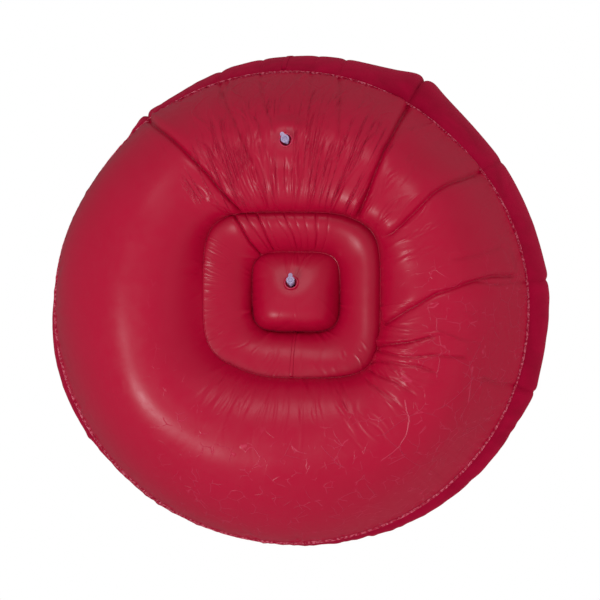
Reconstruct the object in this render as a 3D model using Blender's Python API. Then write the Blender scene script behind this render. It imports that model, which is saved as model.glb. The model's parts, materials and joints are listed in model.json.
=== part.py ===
"""Inflatable lounge chair in the shape of a bean bag, made of welded sheet panels.

Metres, +Z up. The back rest is towards +Y and the front edge towards -Y. The origin is on the
ground, under the middle of the chair's bounding box. Azimuths are counted from +Y towards +X.
A ring-shaped main chamber carries the back and the arms, and a smaller seat chamber closes the
middle of the ring. Each chamber is filled through its own plugged valve in the underside.
"""
import math

import bmesh
import bpy
from mathutils import Matrix, Vector

# Overall size
CHAIR_HEIGHT = 0.69
FRONT_HEIGHT = 0.36
SIDE_HALF_WIDTH = 0.535
SIDE_HALF_DEPTH = 0.523
BACK_RISE_POWER = 1.2

# Sheet goods
VINYL_THICKNESS = 0.0004
FLOCKED_THICKNESS = 0.0007
SEGMENTS = 48

# Welded seams
WELD_CORE = 0.0012
WELD_LIP_LENGTH = 0.0055
WELD_LIP_THICKNESS = 0.0009
SHEET_STOP = 0.0019
PERIMETER_LIP_ELEVATION = math.radians(-25)
RIM_LIP_ELEVATION = math.radians(20)
WELL_MOUTH_LIP_ELEVATION = math.radians(58)
WELL_FLOOR_LIP_ELEVATION = math.radians(-35)
SEAT_LIP_ELEVATION = math.radians(-60)
STRIP_JOINT_WIDTH = 0.009
STRIP_JOINT_THICKNESS = 0.0008
STRIP_JOINT_GAP = 0.0005
STRIP_JOINT_STOP = 0.012

# Perimeter weld, between the underside and the side wall
PERIMETER_HALF_WIDTH = 0.502
PERIMETER_HALF_DEPTH = 0.496
PERIMETER_CENTRE = (0.013, -0.010)
PERIMETER_FRONT_Z = 0.205
PERIMETER_BACK_Z = 0.245

# Rim weld, between the side wall and the top
RIM_HALF_WIDTH = 0.488
RIM_HALF_DEPTH = 0.472
RIM_CENTRE = (0.0, -0.004)
RIM_BELOW_CREST = 0.085
CREST_HALF_WIDTH = 0.405
CREST_HALF_DEPTH = 0.39

# Well in the underside, and the seat above it
WELL_MOUTH_CENTRE = (-0.008, 0.029)
WELL_MOUTH_HALF_WIDTH = 0.181
WELL_MOUTH_HALF_DEPTH = 0.169
WELL_MOUTH_Z = 0.085
WELL_FLOOR_CENTRE = (-0.012, 0.032)
WELL_FLOOR_HALF_WIDTH = 0.091
WELL_FLOOR_HALF_DEPTH = 0.0825
WELL_FLOOR_Z = 0.135
WELL_SQUARENESS = 4.5
SEAT_HALF_WIDTH = 0.200
SEAT_HALF_DEPTH = 0.185
SEAT_CENTRE = (0.0, -0.022)
SEAT_Z = 0.255
SEAT_SQUARENESS = 3.2
SEAT_CROWN = 0.032
SEAT_CROWN_FULLNESS = 3
CROWN_ROWS = (0.9895, 0.90, 0.72, 0.48, 0.24)
PILLOW_DEPTH = 0.036
PILLOW_FULLNESS = 2.4

# Standing ring of the underside, as fractions of the way from well mouth to perimeter
CREST_INNER_FRACTION = 0.36
CREST_OUTER_FRACTION = 0.45
REAR_LIFT = 0.024
REAR_LIFT_FULL_AZIMUTH = math.radians(32)
REAR_LIFT_END_AZIMUTH = math.radians(68)

# Curve handles of the panels' sections at a seam or crest: (outwards, upwards)
BOTTOM_MOUTH_HANDLE = (0.022, -0.040)
BOTTOM_INNER_HANDLE = (-0.055, 0.0)
BOTTOM_OUTER_HANDLE = (0.110, 0.0)
BOTTOM_EDGE_HANDLE = (0.012, -0.105)
TOP_RIM_HANDLE = (0.020, 0.048)
TOP_CREST_OUTER_HANDLE = (0.040, 0.0)
TOP_CREST_INNER_HANDLE = (-0.085, 0.0)
TOP_SEAT_HANDLE_OUT = 0.035
TOP_SEAT_HANDLE_RISE_SHARE = 0.52
SIDE_LOWER_RISE = 0.016
SIDE_LOWER_RISE_SHARE = 0.18
SIDE_UPPER_RISE_SHARE = 0.36
SIDE_UPPER_BULGE_SHARE = 0.75
WALL_MOUTH_HANDLE = (-0.046, -0.012)
WALL_FLOOR_HANDLE = (-0.003, -0.056)

# Folds where the back rest bends out of the ring: azimuth, depth in the underside, outward push
# of the side wall
BACK_CORNERS = (
    (math.radians(-30), 0.012, 0.026),
    (math.radians(37.5), 0.010, 0.014),
)
BACK_CORNER_SPREAD = math.radians(9)
FOLD_DIRECTION = (0.45, -1.0)

# Valves: distances along the axis count outwards from the sheet
MAIN_VALVE_XY = (-0.005, 0.343)
SEAT_VALVE_XY = (-0.006, 0.054)
SEAT_VALVE_LEAN = math.radians(24)
VALVE_FLAT_SHARE = 0.33
VALVE_LEAN_FADE = 1.5
PILLOW_ROWS = (0.978, 0.88, 0.72, 0.52, VALVE_FLAT_SHARE)
MAIN_VALVE_TAB_AZIMUTH = math.radians(30)
SEAT_VALVE_TAB_AZIMUTH = math.radians(2)
VALVE_SIDES = 20
VALVE_SHARP_ANGLE = math.radians(40)
HOLE_CUTTER_HALF_HEIGHT = 0.006
RECESS_RADIUS = 0.0112
RECESS_WALL = 0.0009
RECESS_DEPTH = 0.0115
FLANGE_RADIUS = 0.0225
FLANGE_THICKNESS = 0.0008
FLANGE_NECK_Z = -0.0016
FLANGE_EDGE_Z = -0.0040
SHEET_HOLE_GAP = 0.0005
STEM_RADIUS = 0.0063
STEM_BORE = 0.0042
STEM_INNER_END = -0.020
STEM_OUTER_END = 0.0125
COLLAR_RADIUS = 0.0075
COLLAR_BOTTOM = 0.0022
COLLAR_TOP = 0.0040
RUNNING_GAP = 0.00035
PLUG_HEAD_RADIUS = 0.0083
PLUG_HEAD_BOTTOM = 0.0129
PLUG_HEAD_TOP = 0.0160
PLUG_DIMPLE_RADIUS = 0.0046
PLUG_DIMPLE_DEPTH = 0.0012
PLUG_PIN_RADIUS = 0.0038
PLUG_PIN_END = 0.0040
TAB_LENGTH = 0.0150
TAB_WIDTH = 0.0090
TAB_THICKNESS = 0.0020
TAB_ROOT_GAP = 0.0012
TAB_BELOW_HEAD = 0.0004
TETHER_WIDTH = 0.0040
TETHER_THICKNESS = 0.0012
TETHER_REACH = 0.0138
TETHER_COLLAR_PULL = 0.52
TETHER_HEAD_PULL = 0.45
FLAP_RADIUS = 0.0056
FLAP_THICKNESS = 0.0006

# Colours: base colour, roughness, metallic
MATERIALS = {
    "vinyl": ((0.42, 0.006, 0.032, 1.0), 0.32, 0.0),
    "flocked": ((0.36, 0.006, 0.045, 1.0), 0.92, 0.0),
    "valve_pvc": ((0.66, 0.60, 0.72, 1.0), 0.25, 0.0),
}

UP = Vector((0.0, 0.0, 1.0))
FULL_TURN = 2 * math.pi


# ---------------------------------------------------------------- seams

def outward(azimuth):
    return Vector((math.sin(azimuth), math.cos(azimuth), 0.0))


def signed(azimuth):
    """The same azimuth between minus half a turn and plus half a turn."""
    return (azimuth + math.pi) % FULL_TURN - math.pi


def back_weight(azimuth):
    """1 behind the middle of the back rest, 0 at the middle of the front edge."""
    return ((1 + math.cos(azimuth)) / 2) ** BACK_RISE_POWER


def oval_point(azimuth, half_width, half_depth, centre, z):
    x = centre[0] + half_width * math.sin(azimuth)
    y = centre[1] + half_depth * math.cos(azimuth)
    return Vector((x, y, z))


def square_point(azimuth, half_width, half_depth, centre, z, squareness):
    """A point of a square with rounded corners and slightly bowed sides."""
    across = abs(math.sin(azimuth) / half_width) ** squareness
    along = abs(math.cos(azimuth) / half_depth) ** squareness
    radius = (across + along) ** (-1 / squareness)
    x = centre[0] + radius * math.sin(azimuth)
    y = centre[1] + radius * math.cos(azimuth)
    return Vector((x, y, z))


def crest_height(azimuth):
    return FRONT_HEIGHT + (CHAIR_HEIGHT - FRONT_HEIGHT) * back_weight(azimuth)


def corner_amount(azimuth, which):
    """A fold's depth (which = 1) or outward push (which = 2) at this azimuth."""
    total = 0.0
    for corner in BACK_CORNERS:
        away = signed(azimuth - corner[0]) / BACK_CORNER_SPREAD
        total += corner[which] * math.exp(-away * away)
    return total


def perimeter(azimuth):
    z = PERIMETER_FRONT_Z + (PERIMETER_BACK_Z - PERIMETER_FRONT_Z) * back_weight(azimuth)
    return oval_point(azimuth, PERIMETER_HALF_WIDTH, PERIMETER_HALF_DEPTH, PERIMETER_CENTRE, z)


def rim(azimuth):
    z = crest_height(azimuth) - RIM_BELOW_CREST
    return oval_point(azimuth, RIM_HALF_WIDTH, RIM_HALF_DEPTH, RIM_CENTRE, z)


def well_mouth(azimuth):
    return square_point(azimuth, WELL_MOUTH_HALF_WIDTH, WELL_MOUTH_HALF_DEPTH,
                        WELL_MOUTH_CENTRE, WELL_MOUTH_Z, WELL_SQUARENESS)


def well_floor(azimuth):
    return square_point(azimuth, WELL_FLOOR_HALF_WIDTH, WELL_FLOOR_HALF_DEPTH,
                        WELL_FLOOR_CENTRE, WELL_FLOOR_Z, WELL_SQUARENESS)


def seat_edge(azimuth):
    return square_point(azimuth, SEAT_HALF_WIDTH, SEAT_HALF_DEPTH, SEAT_CENTRE, SEAT_Z,
                        SEAT_SQUARENESS)


def standing_height(azimuth):
    """Height of the underside's lowest ring: 0, but raised behind, clear of the valve."""
    span = REAR_LIFT_END_AZIMUTH - REAR_LIFT_FULL_AZIMUTH
    amount = (REAR_LIFT_END_AZIMUTH - abs(signed(azimuth))) / span
    amount = min(max(amount, 0.0), 1.0)
    return REAR_LIFT * amount * amount * (3 - 2 * amount)


# ---------------------------------------------------------------- panel profiles

def bezier(start, start_handle, end_handle, end, steps, trim_start=0.0, trim_end=0.0):
    """Points of a cubic curve, with its ends cut back by the trim lengths."""
    first = start + start_handle
    last = end + end_handle
    low = trim_start / (3 * start_handle.length)
    high = 1 - trim_end / (3 * end_handle.length)
    points = []
    for step in range(steps + 1):
        t = low + (high - low) * step / steps
        s = 1 - t
        points.append(start * s ** 3 + first * 3 * s * s * t + last * 3 * s * t * t + end * t ** 3)
    return points


def handle(azimuth, pair):
    """A curve handle as a vector, from its outward and upward lengths."""
    return outward(azimuth) * pair[0] + UP * pair[1]


def bottom_profile(azimuth):
    """Underside: from the well mouth down to the standing ring, then up to the perimeter."""
    mouth = well_mouth(azimuth)
    edge = perimeter(azimuth)
    inner = mouth.lerp(edge, CREST_INNER_FRACTION)
    outer = mouth.lerp(edge, CREST_OUTER_FRACTION)
    inner.z = outer.z = standing_height(azimuth)
    fold = corner_amount(azimuth, 1)
    down = bezier(mouth, handle(azimuth, BOTTOM_MOUTH_HANDLE),
                  handle(azimuth, BOTTOM_INNER_HANDLE), inner, 4, SHEET_STOP, 0.0)
    rise = bezier(outer, handle(azimuth, BOTTOM_OUTER_HANDLE),
                  handle(azimuth, BOTTOM_EDGE_HANDLE), edge, 6, 0.0, SHEET_STOP)
    for step, point in enumerate(rise):
        share = math.sin(math.pi * step / (len(rise) - 1))
        point -= handle(azimuth, FOLD_DIRECTION) * fold * share
    return down + rise


def side_profile(azimuth):
    """Side wall: from the perimeter up to the rim, bulging outwards between the two welds."""
    lower = perimeter(azimuth)
    upper = rim(azimuth)
    rise = upper.z - lower.z
    middle = (lower + upper) / 2
    widest = oval_point(azimuth, SIDE_HALF_WIDTH, SIDE_HALF_DEPTH, (0.0, 0.0), middle.z)
    push = (widest - middle).dot(outward(azimuth)) + corner_amount(azimuth, 2)
    bulge = push * 8 / 3 / (1 + SIDE_UPPER_BULGE_SHARE)
    lower_handle = (bulge, SIDE_LOWER_RISE + SIDE_LOWER_RISE_SHARE * rise)
    upper_handle = (bulge * SIDE_UPPER_BULGE_SHARE, -SIDE_UPPER_RISE_SHARE * rise)
    return bezier(lower, handle(azimuth, lower_handle), handle(azimuth, upper_handle), upper, 5,
                  SHEET_STOP, SHEET_STOP)


def top_profile(azimuth):
    """Top: from the rim over the crest of the back and arms, and down to the seat weld."""
    edge = rim(azimuth)
    seat = seat_edge(azimuth)
    crest = oval_point(azimuth, CREST_HALF_WIDTH, CREST_HALF_DEPTH, RIM_CENTRE,
                       crest_height(azimuth))
    drop = crest.z - seat.z
    over = bezier(edge, handle(azimuth, TOP_RIM_HANDLE), handle(azimuth, TOP_CREST_OUTER_HANDLE),
                  crest, 4, SHEET_STOP, 0.0)
    seat_handle = (TOP_SEAT_HANDLE_OUT, TOP_SEAT_HANDLE_RISE_SHARE * drop)
    inside = bezier(crest, handle(azimuth, TOP_CREST_INNER_HANDLE), handle(azimuth, seat_handle),
                    seat, 6, 0.0, SHEET_STOP)
    return over + inside[1:]


def well_wall_profile(azimuth):
    """Wall of the well: leaves the mouth inwards and turns up to the well's floor."""
    return bezier(well_mouth(azimuth), handle(azimuth, WALL_MOUTH_HANDLE),
                  handle(azimuth, WALL_FLOOR_HANDLE), well_floor(azimuth), 5, SHEET_STOP,
                  SHEET_STOP)


def partition_profile(azimuth):
    """Wall inside the chair, between the main chamber and the seat chamber."""
    lower = well_floor(azimuth)
    upper = seat_edge(azimuth)
    third = (upper - lower) / 3
    return bezier(lower, third, third * -1, upper, 2, SHEET_STOP, SHEET_STOP)


def seat_valve_anchor():
    """The point of the pillow that the seat valve stands on."""
    return Vector((SEAT_VALVE_XY[0], SEAT_VALVE_XY[1], WELL_FLOOR_Z - PILLOW_DEPTH))


def pillow_profile(azimuth):
    """Floor of the well: a shallow pillow, from its weld in to the sheet's flat round the valve.

    The valve's flange holds the sheet round it in a plane, which leans with the valve.
    """
    edge = well_floor(azimuth)
    anchor = seat_valve_anchor()
    points = []
    for share in PILLOW_ROWS:
        beyond = (share - VALVE_FLAT_SHARE) / (1 - VALVE_FLAT_SHARE)
        point = anchor.lerp(edge, share)
        lean = (point.y - anchor.y) * math.tan(SEAT_VALVE_LEAN) * (1 - beyond) ** VALVE_LEAN_FADE
        point.z = anchor.z + (edge.z - anchor.z) * beyond ** PILLOW_FULLNESS + lean
        points.append(point)
    return points


def crown_height(share):
    return SEAT_CROWN * (1 - share ** SEAT_CROWN_FULLNESS)


def crown_profile(azimuth):
    """Seat: a crowned sheet, from its weld towards the middle."""
    edge = seat_edge(azimuth)
    centre = Vector((*SEAT_CENTRE, SEAT_Z))
    points = []
    for share in CROWN_ROWS:
        points.append(centre.lerp(edge, share) + UP * crown_height(share))
    return points


# ---------------------------------------------------------------- building blocks

def clear_scene():
    for obj in list(bpy.data.objects):
        bpy.data.objects.remove(obj, do_unlink=True)


def material(slot):
    if slot in bpy.data.materials:
        return bpy.data.materials[slot]
    colour, roughness, metallic = MATERIALS[slot]
    made = bpy.data.materials.new(slot)
    made.use_nodes = True
    shader = made.node_tree.nodes["Principled BSDF"]
    shader.inputs["Base Color"].default_value = colour
    shader.inputs["Roughness"].default_value = roughness
    shader.inputs["Metallic"].default_value = metallic
    return made


def new_object(name, points, faces, slot, place=None):
    mesh = bpy.data.meshes.new(name)
    mesh.from_pydata([tuple(point) for point in points], [], faces)
    mesh.validate()
    mesh.shade_smooth()
    obj = bpy.data.objects.new(name, mesh)
    bpy.context.scene.collection.objects.link(obj)
    obj.data.materials.append(material(slot))
    if place is not None:
        obj.matrix_world = place
    return obj


def face_outwards(obj):
    """Turns every face of a closed mesh outwards."""
    mesh = bmesh.new()
    mesh.from_mesh(obj.data)
    bmesh.ops.recalc_face_normals(mesh, faces=mesh.faces)
    mesh.to_mesh(obj.data)
    mesh.free()


def ring_of_azimuths():
    return [FULL_TURN * index / SEGMENTS for index in range(SEGMENTS)]


def sheet(name, profile, thickness, slot, centre=None, outside_left=True):
    """A panel round the whole chair. Its thickness grows into the air chamber.

    outside_left says that the outer face looks to the left of the profile's direction, seen
    towards growing azimuth. With a centre the panel closes over the middle.
    """
    columns = [profile(azimuth) for azimuth in ring_of_azimuths()]
    rows = len(columns[0])
    points = [point for column in columns for point in column]
    faces = []
    for index in range(SEGMENTS):
        here = index * rows
        there = (index + 1) % SEGMENTS * rows
        for row in range(rows - 1):
            faces.append((here + row, here + row + 1, there + row + 1, there + row))
        if centre is not None:
            faces.append((here + rows - 1, len(points), there + rows - 1))
    if centre is not None:
        points.append(centre)
    if not outside_left:
        faces = [tuple(reversed(face)) for face in faces]
    obj = new_object(name, points, faces, slot)
    solid = obj.modifiers.new("thickness", "SOLIDIFY")
    solid.thickness = thickness
    solid.offset = -1
    return obj


def weld(name, seam, lip_elevation, slot):
    """A welded seam: a bead along the seam and a flat lip that points away from the sheets."""
    points = []
    faces = []
    half = WELD_LIP_THICKNESS / 2
    section = (
        (-WELD_CORE, 0.0),
        (0.0, WELD_CORE),
        (WELD_LIP_LENGTH, half),
        (WELD_LIP_LENGTH, -half),
        (0.0, -WELD_CORE),
    )
    count = len(section)
    for azimuth in ring_of_azimuths():
        lip = outward(azimuth) * math.cos(lip_elevation) + UP * math.sin(lip_elevation)
        side = UP * math.cos(lip_elevation) - outward(azimuth) * math.sin(lip_elevation)
        base = seam(azimuth)
        points += [base + lip * along + side * across for along, across in section]
    for index in range(SEGMENTS):
        here = index * count
        there = (index + 1) % SEGMENTS * count
        for corner in range(count):
            after = (corner + 1) % count
            faces.append((here + corner, there + corner, there + after, here + after))
    obj = new_object(name, points, faces, slot)
    face_outwards(obj)
    return obj


def strip_joint(name, profile, azimuth, slot, outer_side):
    """The lap weld that closes a strip wall into a ring: a flat ridge on its outer face."""
    path = profile(azimuth)
    across = Vector((math.cos(azimuth), -math.sin(azimuth), 0.0)) * STRIP_JOINT_WIDTH / 2
    points = []
    for index, here in enumerate(path):
        before = path[max(index - 1, 0)]
        after = path[min(index + 1, len(path) - 1)]
        along = (after - before).normalized()
        normal = along.cross(across).normalized() * outer_side
        start = here.copy()
        if index == 0:
            start += along * STRIP_JOINT_STOP
        if index == len(path) - 1:
            start -= along * STRIP_JOINT_STOP
        low = start + normal * STRIP_JOINT_GAP
        high = low + normal * STRIP_JOINT_THICKNESS
        points += [low - across, low + across, high + across, high - across]
    faces = [(0, 1, 2, 3)]
    for index in range(len(path) - 1):
        for corner in range(4):
            after = (corner + 1) % 4
            here = index * 4
            faces.append((here + corner, here + 4 + corner, here + 4 + after, here + after))
    last = len(points) - 4
    faces.append((last + 3, last + 2, last + 1, last))
    obj = new_object(name, points, faces, slot)
    face_outwards(obj)
    return obj


def turned(name, outline, slot, place, sides=VALVE_SIDES):
    """A solid turned round local Z from (radius, height) points. Radius 0 closes on the axis."""
    points = []
    rings = []
    for radius, height in outline:
        if radius == 0:
            rings.append([len(points)] * sides)
            points.append(Vector((0.0, 0.0, height)))
            continue
        rings.append([len(points) + side for side in range(sides)])
        for side in range(sides):
            angle = FULL_TURN * side / sides
            points.append(Vector((radius * math.cos(angle), radius * math.sin(angle), height)))
    faces = []
    closed = outline[0][0] > 0
    for index in range(len(rings) if closed else len(rings) - 1):
        lower = rings[index]
        upper = rings[(index + 1) % len(rings)]
        for side in range(sides):
            after = (side + 1) % sides
            corners = (lower[side], lower[after], upper[after], upper[side])
            face = tuple(dict.fromkeys(corners))
            if len(face) > 2:
                faces.append(face)
    obj = new_object(name, points, faces, slot, place)
    face_outwards(obj)
    obj.data.set_sharp_from_angle(angle=VALVE_SHARP_ANGLE)
    return obj


def cut_round_hole(obj, place, radius):
    """Cuts a round hole through a sheet along a valve's axis."""
    half = HOLE_CUTTER_HALF_HEIGHT
    outline = ((0, -half), (radius, -half), (radius, half), (0, half))
    cutter = turned(obj.name + "_hole_cutter", outline, "valve_pvc", place)
    cutter.hide_render = True
    cutter.display_type = "WIRE"
    cut = obj.modifiers.new("valve hole", "BOOLEAN")
    cut.operation = "DIFFERENCE"
    cut.solver = "EXACT"
    cut.object = cutter


def box_points(low, high):
    return [Vector((x, y, z)) for z in (low[2], high[2]) for y in (low[1], high[1])
            for x in (low[0], high[0])]


def add_block(obj, low, high, place):
    """Joins a rectangular block, given in the object's own axes, to the object."""
    faces = ((0, 2, 3, 1), (4, 5, 7, 6), (0, 1, 5, 4), (2, 6, 7, 3), (0, 4, 6, 2), (1, 3, 7, 5))
    block = new_object(obj.name + "_tab_guide", box_points(low, high), faces, "valve_pvc", place)
    face_outwards(block)
    block.hide_render = True
    block.display_type = "WIRE"
    join = obj.modifiers.new("tab", "BOOLEAN")
    join.operation = "UNION"
    join.solver = "EXACT"
    join.object = block


def ribbon(name, path, width, thickness, slot, place):
    """A flat strap along a path in the local XZ plane, its width along local Y."""
    points = []
    for index, here in enumerate(path):
        before = path[max(index - 1, 0)]
        after = path[min(index + 1, len(path) - 1)]
        along = (after - before).normalized()
        normal = Vector((-along.z, 0.0, along.x)) * thickness / 2
        half = Vector((0.0, width / 2, 0.0))
        points += [here - normal - half, here + normal - half, here + normal + half,
                   here - normal + half]
    faces = [(0, 1, 2, 3)]
    for index in range(len(path) - 1):
        for corner in range(4):
            after = (corner + 1) % 4
            here = index * 4
            faces.append((here + corner, here + 4 + corner, here + 4 + after, here + after))
    last = len(points) - 4
    faces.append((last + 3, last + 2, last + 1, last))
    obj = new_object(name, points, faces, slot, place)
    face_outwards(obj)
    return obj


# ---------------------------------------------------------------- valves

def valve_place(anchor, axis, tab_azimuth):
    """Local frame of a valve: Z along its axis, X towards the plug's pull tab."""
    z = axis.normalized()
    tab = outward(tab_azimuth)
    x = (tab - z * tab.dot(z)).normalized()
    y = z.cross(x)
    rotation = Matrix((x, y, z)).transposed().to_4x4()
    return Matrix.Translation(anchor) @ rotation


def surface_at(profile, x, y):
    """The point of a sheet's outer face under (x, y), and its outward normal."""
    azimuth = math.atan2(x, y) % FULL_TURN
    radius = math.hypot(x, y)
    path = profile(azimuth)
    for here, after in zip(path, path[1:]):
        inner = math.hypot(here.x, here.y)
        outer = math.hypot(after.x, after.y)
        if inner <= radius <= outer:
            along = (after - here).normalized()
            point = here.lerp(after, (radius - inner) / (outer - inner))
            sideways = Vector((math.cos(azimuth), -math.sin(azimuth), 0.0))
            return point, along.cross(sideways).normalized()
    raise ValueError("no sheet over this point")


def build_valve(prefix, place, panel):
    """One valve: flange with its recess, stem, plug on a tether, and the check flap inside."""
    recess_outer = RECESS_RADIUS + RECESS_WALL
    hole_in_floor = STEM_RADIUS + RUNNING_GAP
    flange_outline = (
        (hole_in_floor, -RECESS_DEPTH),
        (RECESS_RADIUS, -RECESS_DEPTH),
        (RECESS_RADIUS, 0.0),
        (recess_outer, 0.0),
        (recess_outer, FLANGE_NECK_Z),
        (FLANGE_RADIUS, FLANGE_EDGE_Z),
        (FLANGE_RADIUS, FLANGE_EDGE_Z - FLANGE_THICKNESS),
        (recess_outer, FLANGE_NECK_Z - FLANGE_THICKNESS),
        (recess_outer, -RECESS_DEPTH - RECESS_WALL),
        (hole_in_floor, -RECESS_DEPTH - RECESS_WALL),
    )
    turned(prefix + "_flange", flange_outline, "valve_pvc", place)
    cut_round_hole(panel, place, recess_outer + SHEET_HOLE_GAP)

    stem_outline = (
        (STEM_BORE, STEM_INNER_END),
        (STEM_RADIUS, STEM_INNER_END),
        (STEM_RADIUS, COLLAR_BOTTOM),
        (COLLAR_RADIUS, COLLAR_BOTTOM),
        (COLLAR_RADIUS, COLLAR_TOP),
        (STEM_RADIUS, COLLAR_TOP),
        (STEM_RADIUS, STEM_OUTER_END),
        (STEM_BORE, STEM_OUTER_END),
    )
    turned(prefix + "_stem", stem_outline, "valve_pvc", place)

    plug_outline = (
        (0, PLUG_PIN_END),
        (PLUG_PIN_RADIUS, PLUG_PIN_END),
        (PLUG_PIN_RADIUS, PLUG_HEAD_BOTTOM),
        (PLUG_HEAD_RADIUS, PLUG_HEAD_BOTTOM),
        (PLUG_HEAD_RADIUS, PLUG_HEAD_TOP),
        (PLUG_DIMPLE_RADIUS, PLUG_HEAD_TOP),
        (PLUG_DIMPLE_RADIUS, PLUG_HEAD_TOP - PLUG_DIMPLE_DEPTH),
        (0, PLUG_HEAD_TOP - PLUG_DIMPLE_DEPTH),
    )
    plug = turned(prefix + "_plug", plug_outline, "valve_pvc", place)
    tab_top = PLUG_HEAD_TOP - TAB_BELOW_HEAD
    tab_low = (PLUG_DIMPLE_RADIUS + TAB_ROOT_GAP, -TAB_WIDTH / 2, tab_top - TAB_THICKNESS)
    tab_high = (TAB_LENGTH, TAB_WIDTH / 2, tab_top)
    add_block(plug, tab_low, tab_high, place)

    head_side = PLUG_HEAD_RADIUS + RUNNING_GAP
    collar_side = COLLAR_RADIUS + RUNNING_GAP
    collar_middle = (COLLAR_BOTTOM + COLLAR_TOP) / 2
    head_middle = (PLUG_HEAD_BOTTOM + PLUG_HEAD_TOP) / 2
    loop = (collar_middle + head_middle) / 2
    collar_end = Vector((-collar_side, 0.0, collar_middle))
    head_end = Vector((-head_side, 0.0, head_middle))
    far_point = Vector((-TETHER_REACH, 0.0, loop))
    collar_pull = Vector((-TETHER_REACH * TETHER_COLLAR_PULL, 0.0, 0.0))
    head_pull = Vector((-TETHER_REACH * TETHER_HEAD_PULL, 0.0, 0.0))
    half_way_down = Vector((0.0, 0.0, (collar_middle - loop) / 2))
    half_way_up = Vector((0.0, 0.0, (head_middle - loop) / 2))
    tether_path = bezier(collar_end, collar_pull, half_way_down, far_point, 4)
    tether_path += bezier(far_point, half_way_up, head_pull, head_end, 4)[1:]
    ribbon(prefix + "_tether", tether_path, TETHER_WIDTH, TETHER_THICKNESS, "valve_pvc", place)

    flap_top = STEM_INNER_END - RUNNING_GAP
    hinge = place @ Matrix.Translation((FLAP_RADIUS, 0.0, flap_top))
    flap = turned(prefix + "_flap", ((0, -FLAP_THICKNESS), (FLAP_RADIUS, -FLAP_THICKNESS),
                                     (FLAP_RADIUS, 0.0), (0, 0.0)), "valve_pvc", hinge)
    flap.data.transform(Matrix.Translation((-FLAP_RADIUS, 0.0, 0.0)))


def build():
    clear_scene()
    bottom = sheet("bottom_panel", bottom_profile, VINYL_THICKNESS, "vinyl")
    sheet("side_wall", side_profile, FLOCKED_THICKNESS, "flocked")
    sheet("top_panel", top_profile, FLOCKED_THICKNESS, "flocked")
    sheet("well_wall", well_wall_profile, VINYL_THICKNESS, "vinyl", outside_left=False)
    sheet("chamber_partition", partition_profile, VINYL_THICKNESS, "vinyl")
    pillow = sheet("seat_bottom_panel", pillow_profile, VINYL_THICKNESS, "vinyl",
                   centre=seat_valve_anchor(), outside_left=False)
    seat_middle = Vector((*SEAT_CENTRE, SEAT_Z + crown_height(0)))
    sheet("seat_top_panel", crown_profile, FLOCKED_THICKNESS, "flocked", centre=seat_middle)

    weld("perimeter_weld", perimeter, PERIMETER_LIP_ELEVATION, "vinyl")
    weld("rim_weld", rim, RIM_LIP_ELEVATION, "flocked")
    weld("well_mouth_weld", well_mouth, WELL_MOUTH_LIP_ELEVATION, "vinyl")
    weld("well_floor_weld", well_floor, WELL_FLOOR_LIP_ELEVATION, "vinyl")
    weld("seat_weld", seat_edge, SEAT_LIP_ELEVATION, "vinyl")
    strip_joint("side_wall_joint", side_profile, 0.0, "flocked", 1)
    strip_joint("well_wall_joint", well_wall_profile, math.pi, "vinyl", -1)

    main_point, main_axis = surface_at(bottom_profile, *MAIN_VALVE_XY)
    build_valve("main_valve", valve_place(main_point, main_axis, MAIN_VALVE_TAB_AZIMUTH), bottom)
    seat_axis = Vector((0.0, math.sin(SEAT_VALVE_LEAN), -math.cos(SEAT_VALVE_LEAN)))
    seat_place = valve_place(seat_valve_anchor(), seat_axis, SEAT_VALVE_TAB_AZIMUTH)
    build_valve("seat_valve", seat_place, pillow)


build()
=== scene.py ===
"""Inflatable lounge chair in the shape of a bean bag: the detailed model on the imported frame.

Metres, +Z up, in the frame of the CAD model. Azimuths are counted from +Y towards +X. Every sheet
is a grid of columns, one for each azimuth, and rows, from one weld to the next.
"""
import math

import bmesh
import bpy
import numpy as np
from mathutils import Matrix, Vector
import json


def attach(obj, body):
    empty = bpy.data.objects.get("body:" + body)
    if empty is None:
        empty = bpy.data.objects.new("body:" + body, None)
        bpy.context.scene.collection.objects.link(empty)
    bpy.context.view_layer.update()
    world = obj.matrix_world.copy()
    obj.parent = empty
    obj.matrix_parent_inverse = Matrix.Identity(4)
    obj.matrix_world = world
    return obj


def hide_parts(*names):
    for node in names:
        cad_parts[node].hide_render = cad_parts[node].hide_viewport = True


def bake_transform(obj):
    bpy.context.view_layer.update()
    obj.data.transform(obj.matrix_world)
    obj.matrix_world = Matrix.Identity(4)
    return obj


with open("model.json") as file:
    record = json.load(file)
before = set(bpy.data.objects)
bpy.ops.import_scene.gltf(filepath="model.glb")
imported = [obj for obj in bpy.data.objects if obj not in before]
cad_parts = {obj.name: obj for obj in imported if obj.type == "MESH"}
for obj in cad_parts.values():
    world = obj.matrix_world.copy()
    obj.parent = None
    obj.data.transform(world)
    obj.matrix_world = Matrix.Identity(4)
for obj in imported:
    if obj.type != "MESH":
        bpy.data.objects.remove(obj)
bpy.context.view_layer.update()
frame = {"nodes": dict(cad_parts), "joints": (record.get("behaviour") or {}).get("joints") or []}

FULL_TURN = 2 * math.pi
UP = np.array([0.0, 0.0, 1.0])
ROOT = "chair"

# Grids
COLUMNS = 960
BOTTOM_ROWS = 118
SIDE_ROWS = 34
TOP_ROWS = 66
WALL_ROWS = 48
PILLOW_ROWS = 40
CROWN_ROWS = 30
VINYL_THICKNESS = 0.0004
FLOCKED_THICKNESS = 0.0007

# Overall size and seams
CHAIR_HEIGHT = 0.69
FRONT_HEIGHT = 0.36
BACK_RISE_POWER = 1.2
SIDE_HALF_WIDTH = 0.531
SIDE_HALF_DEPTH = 0.519
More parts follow.
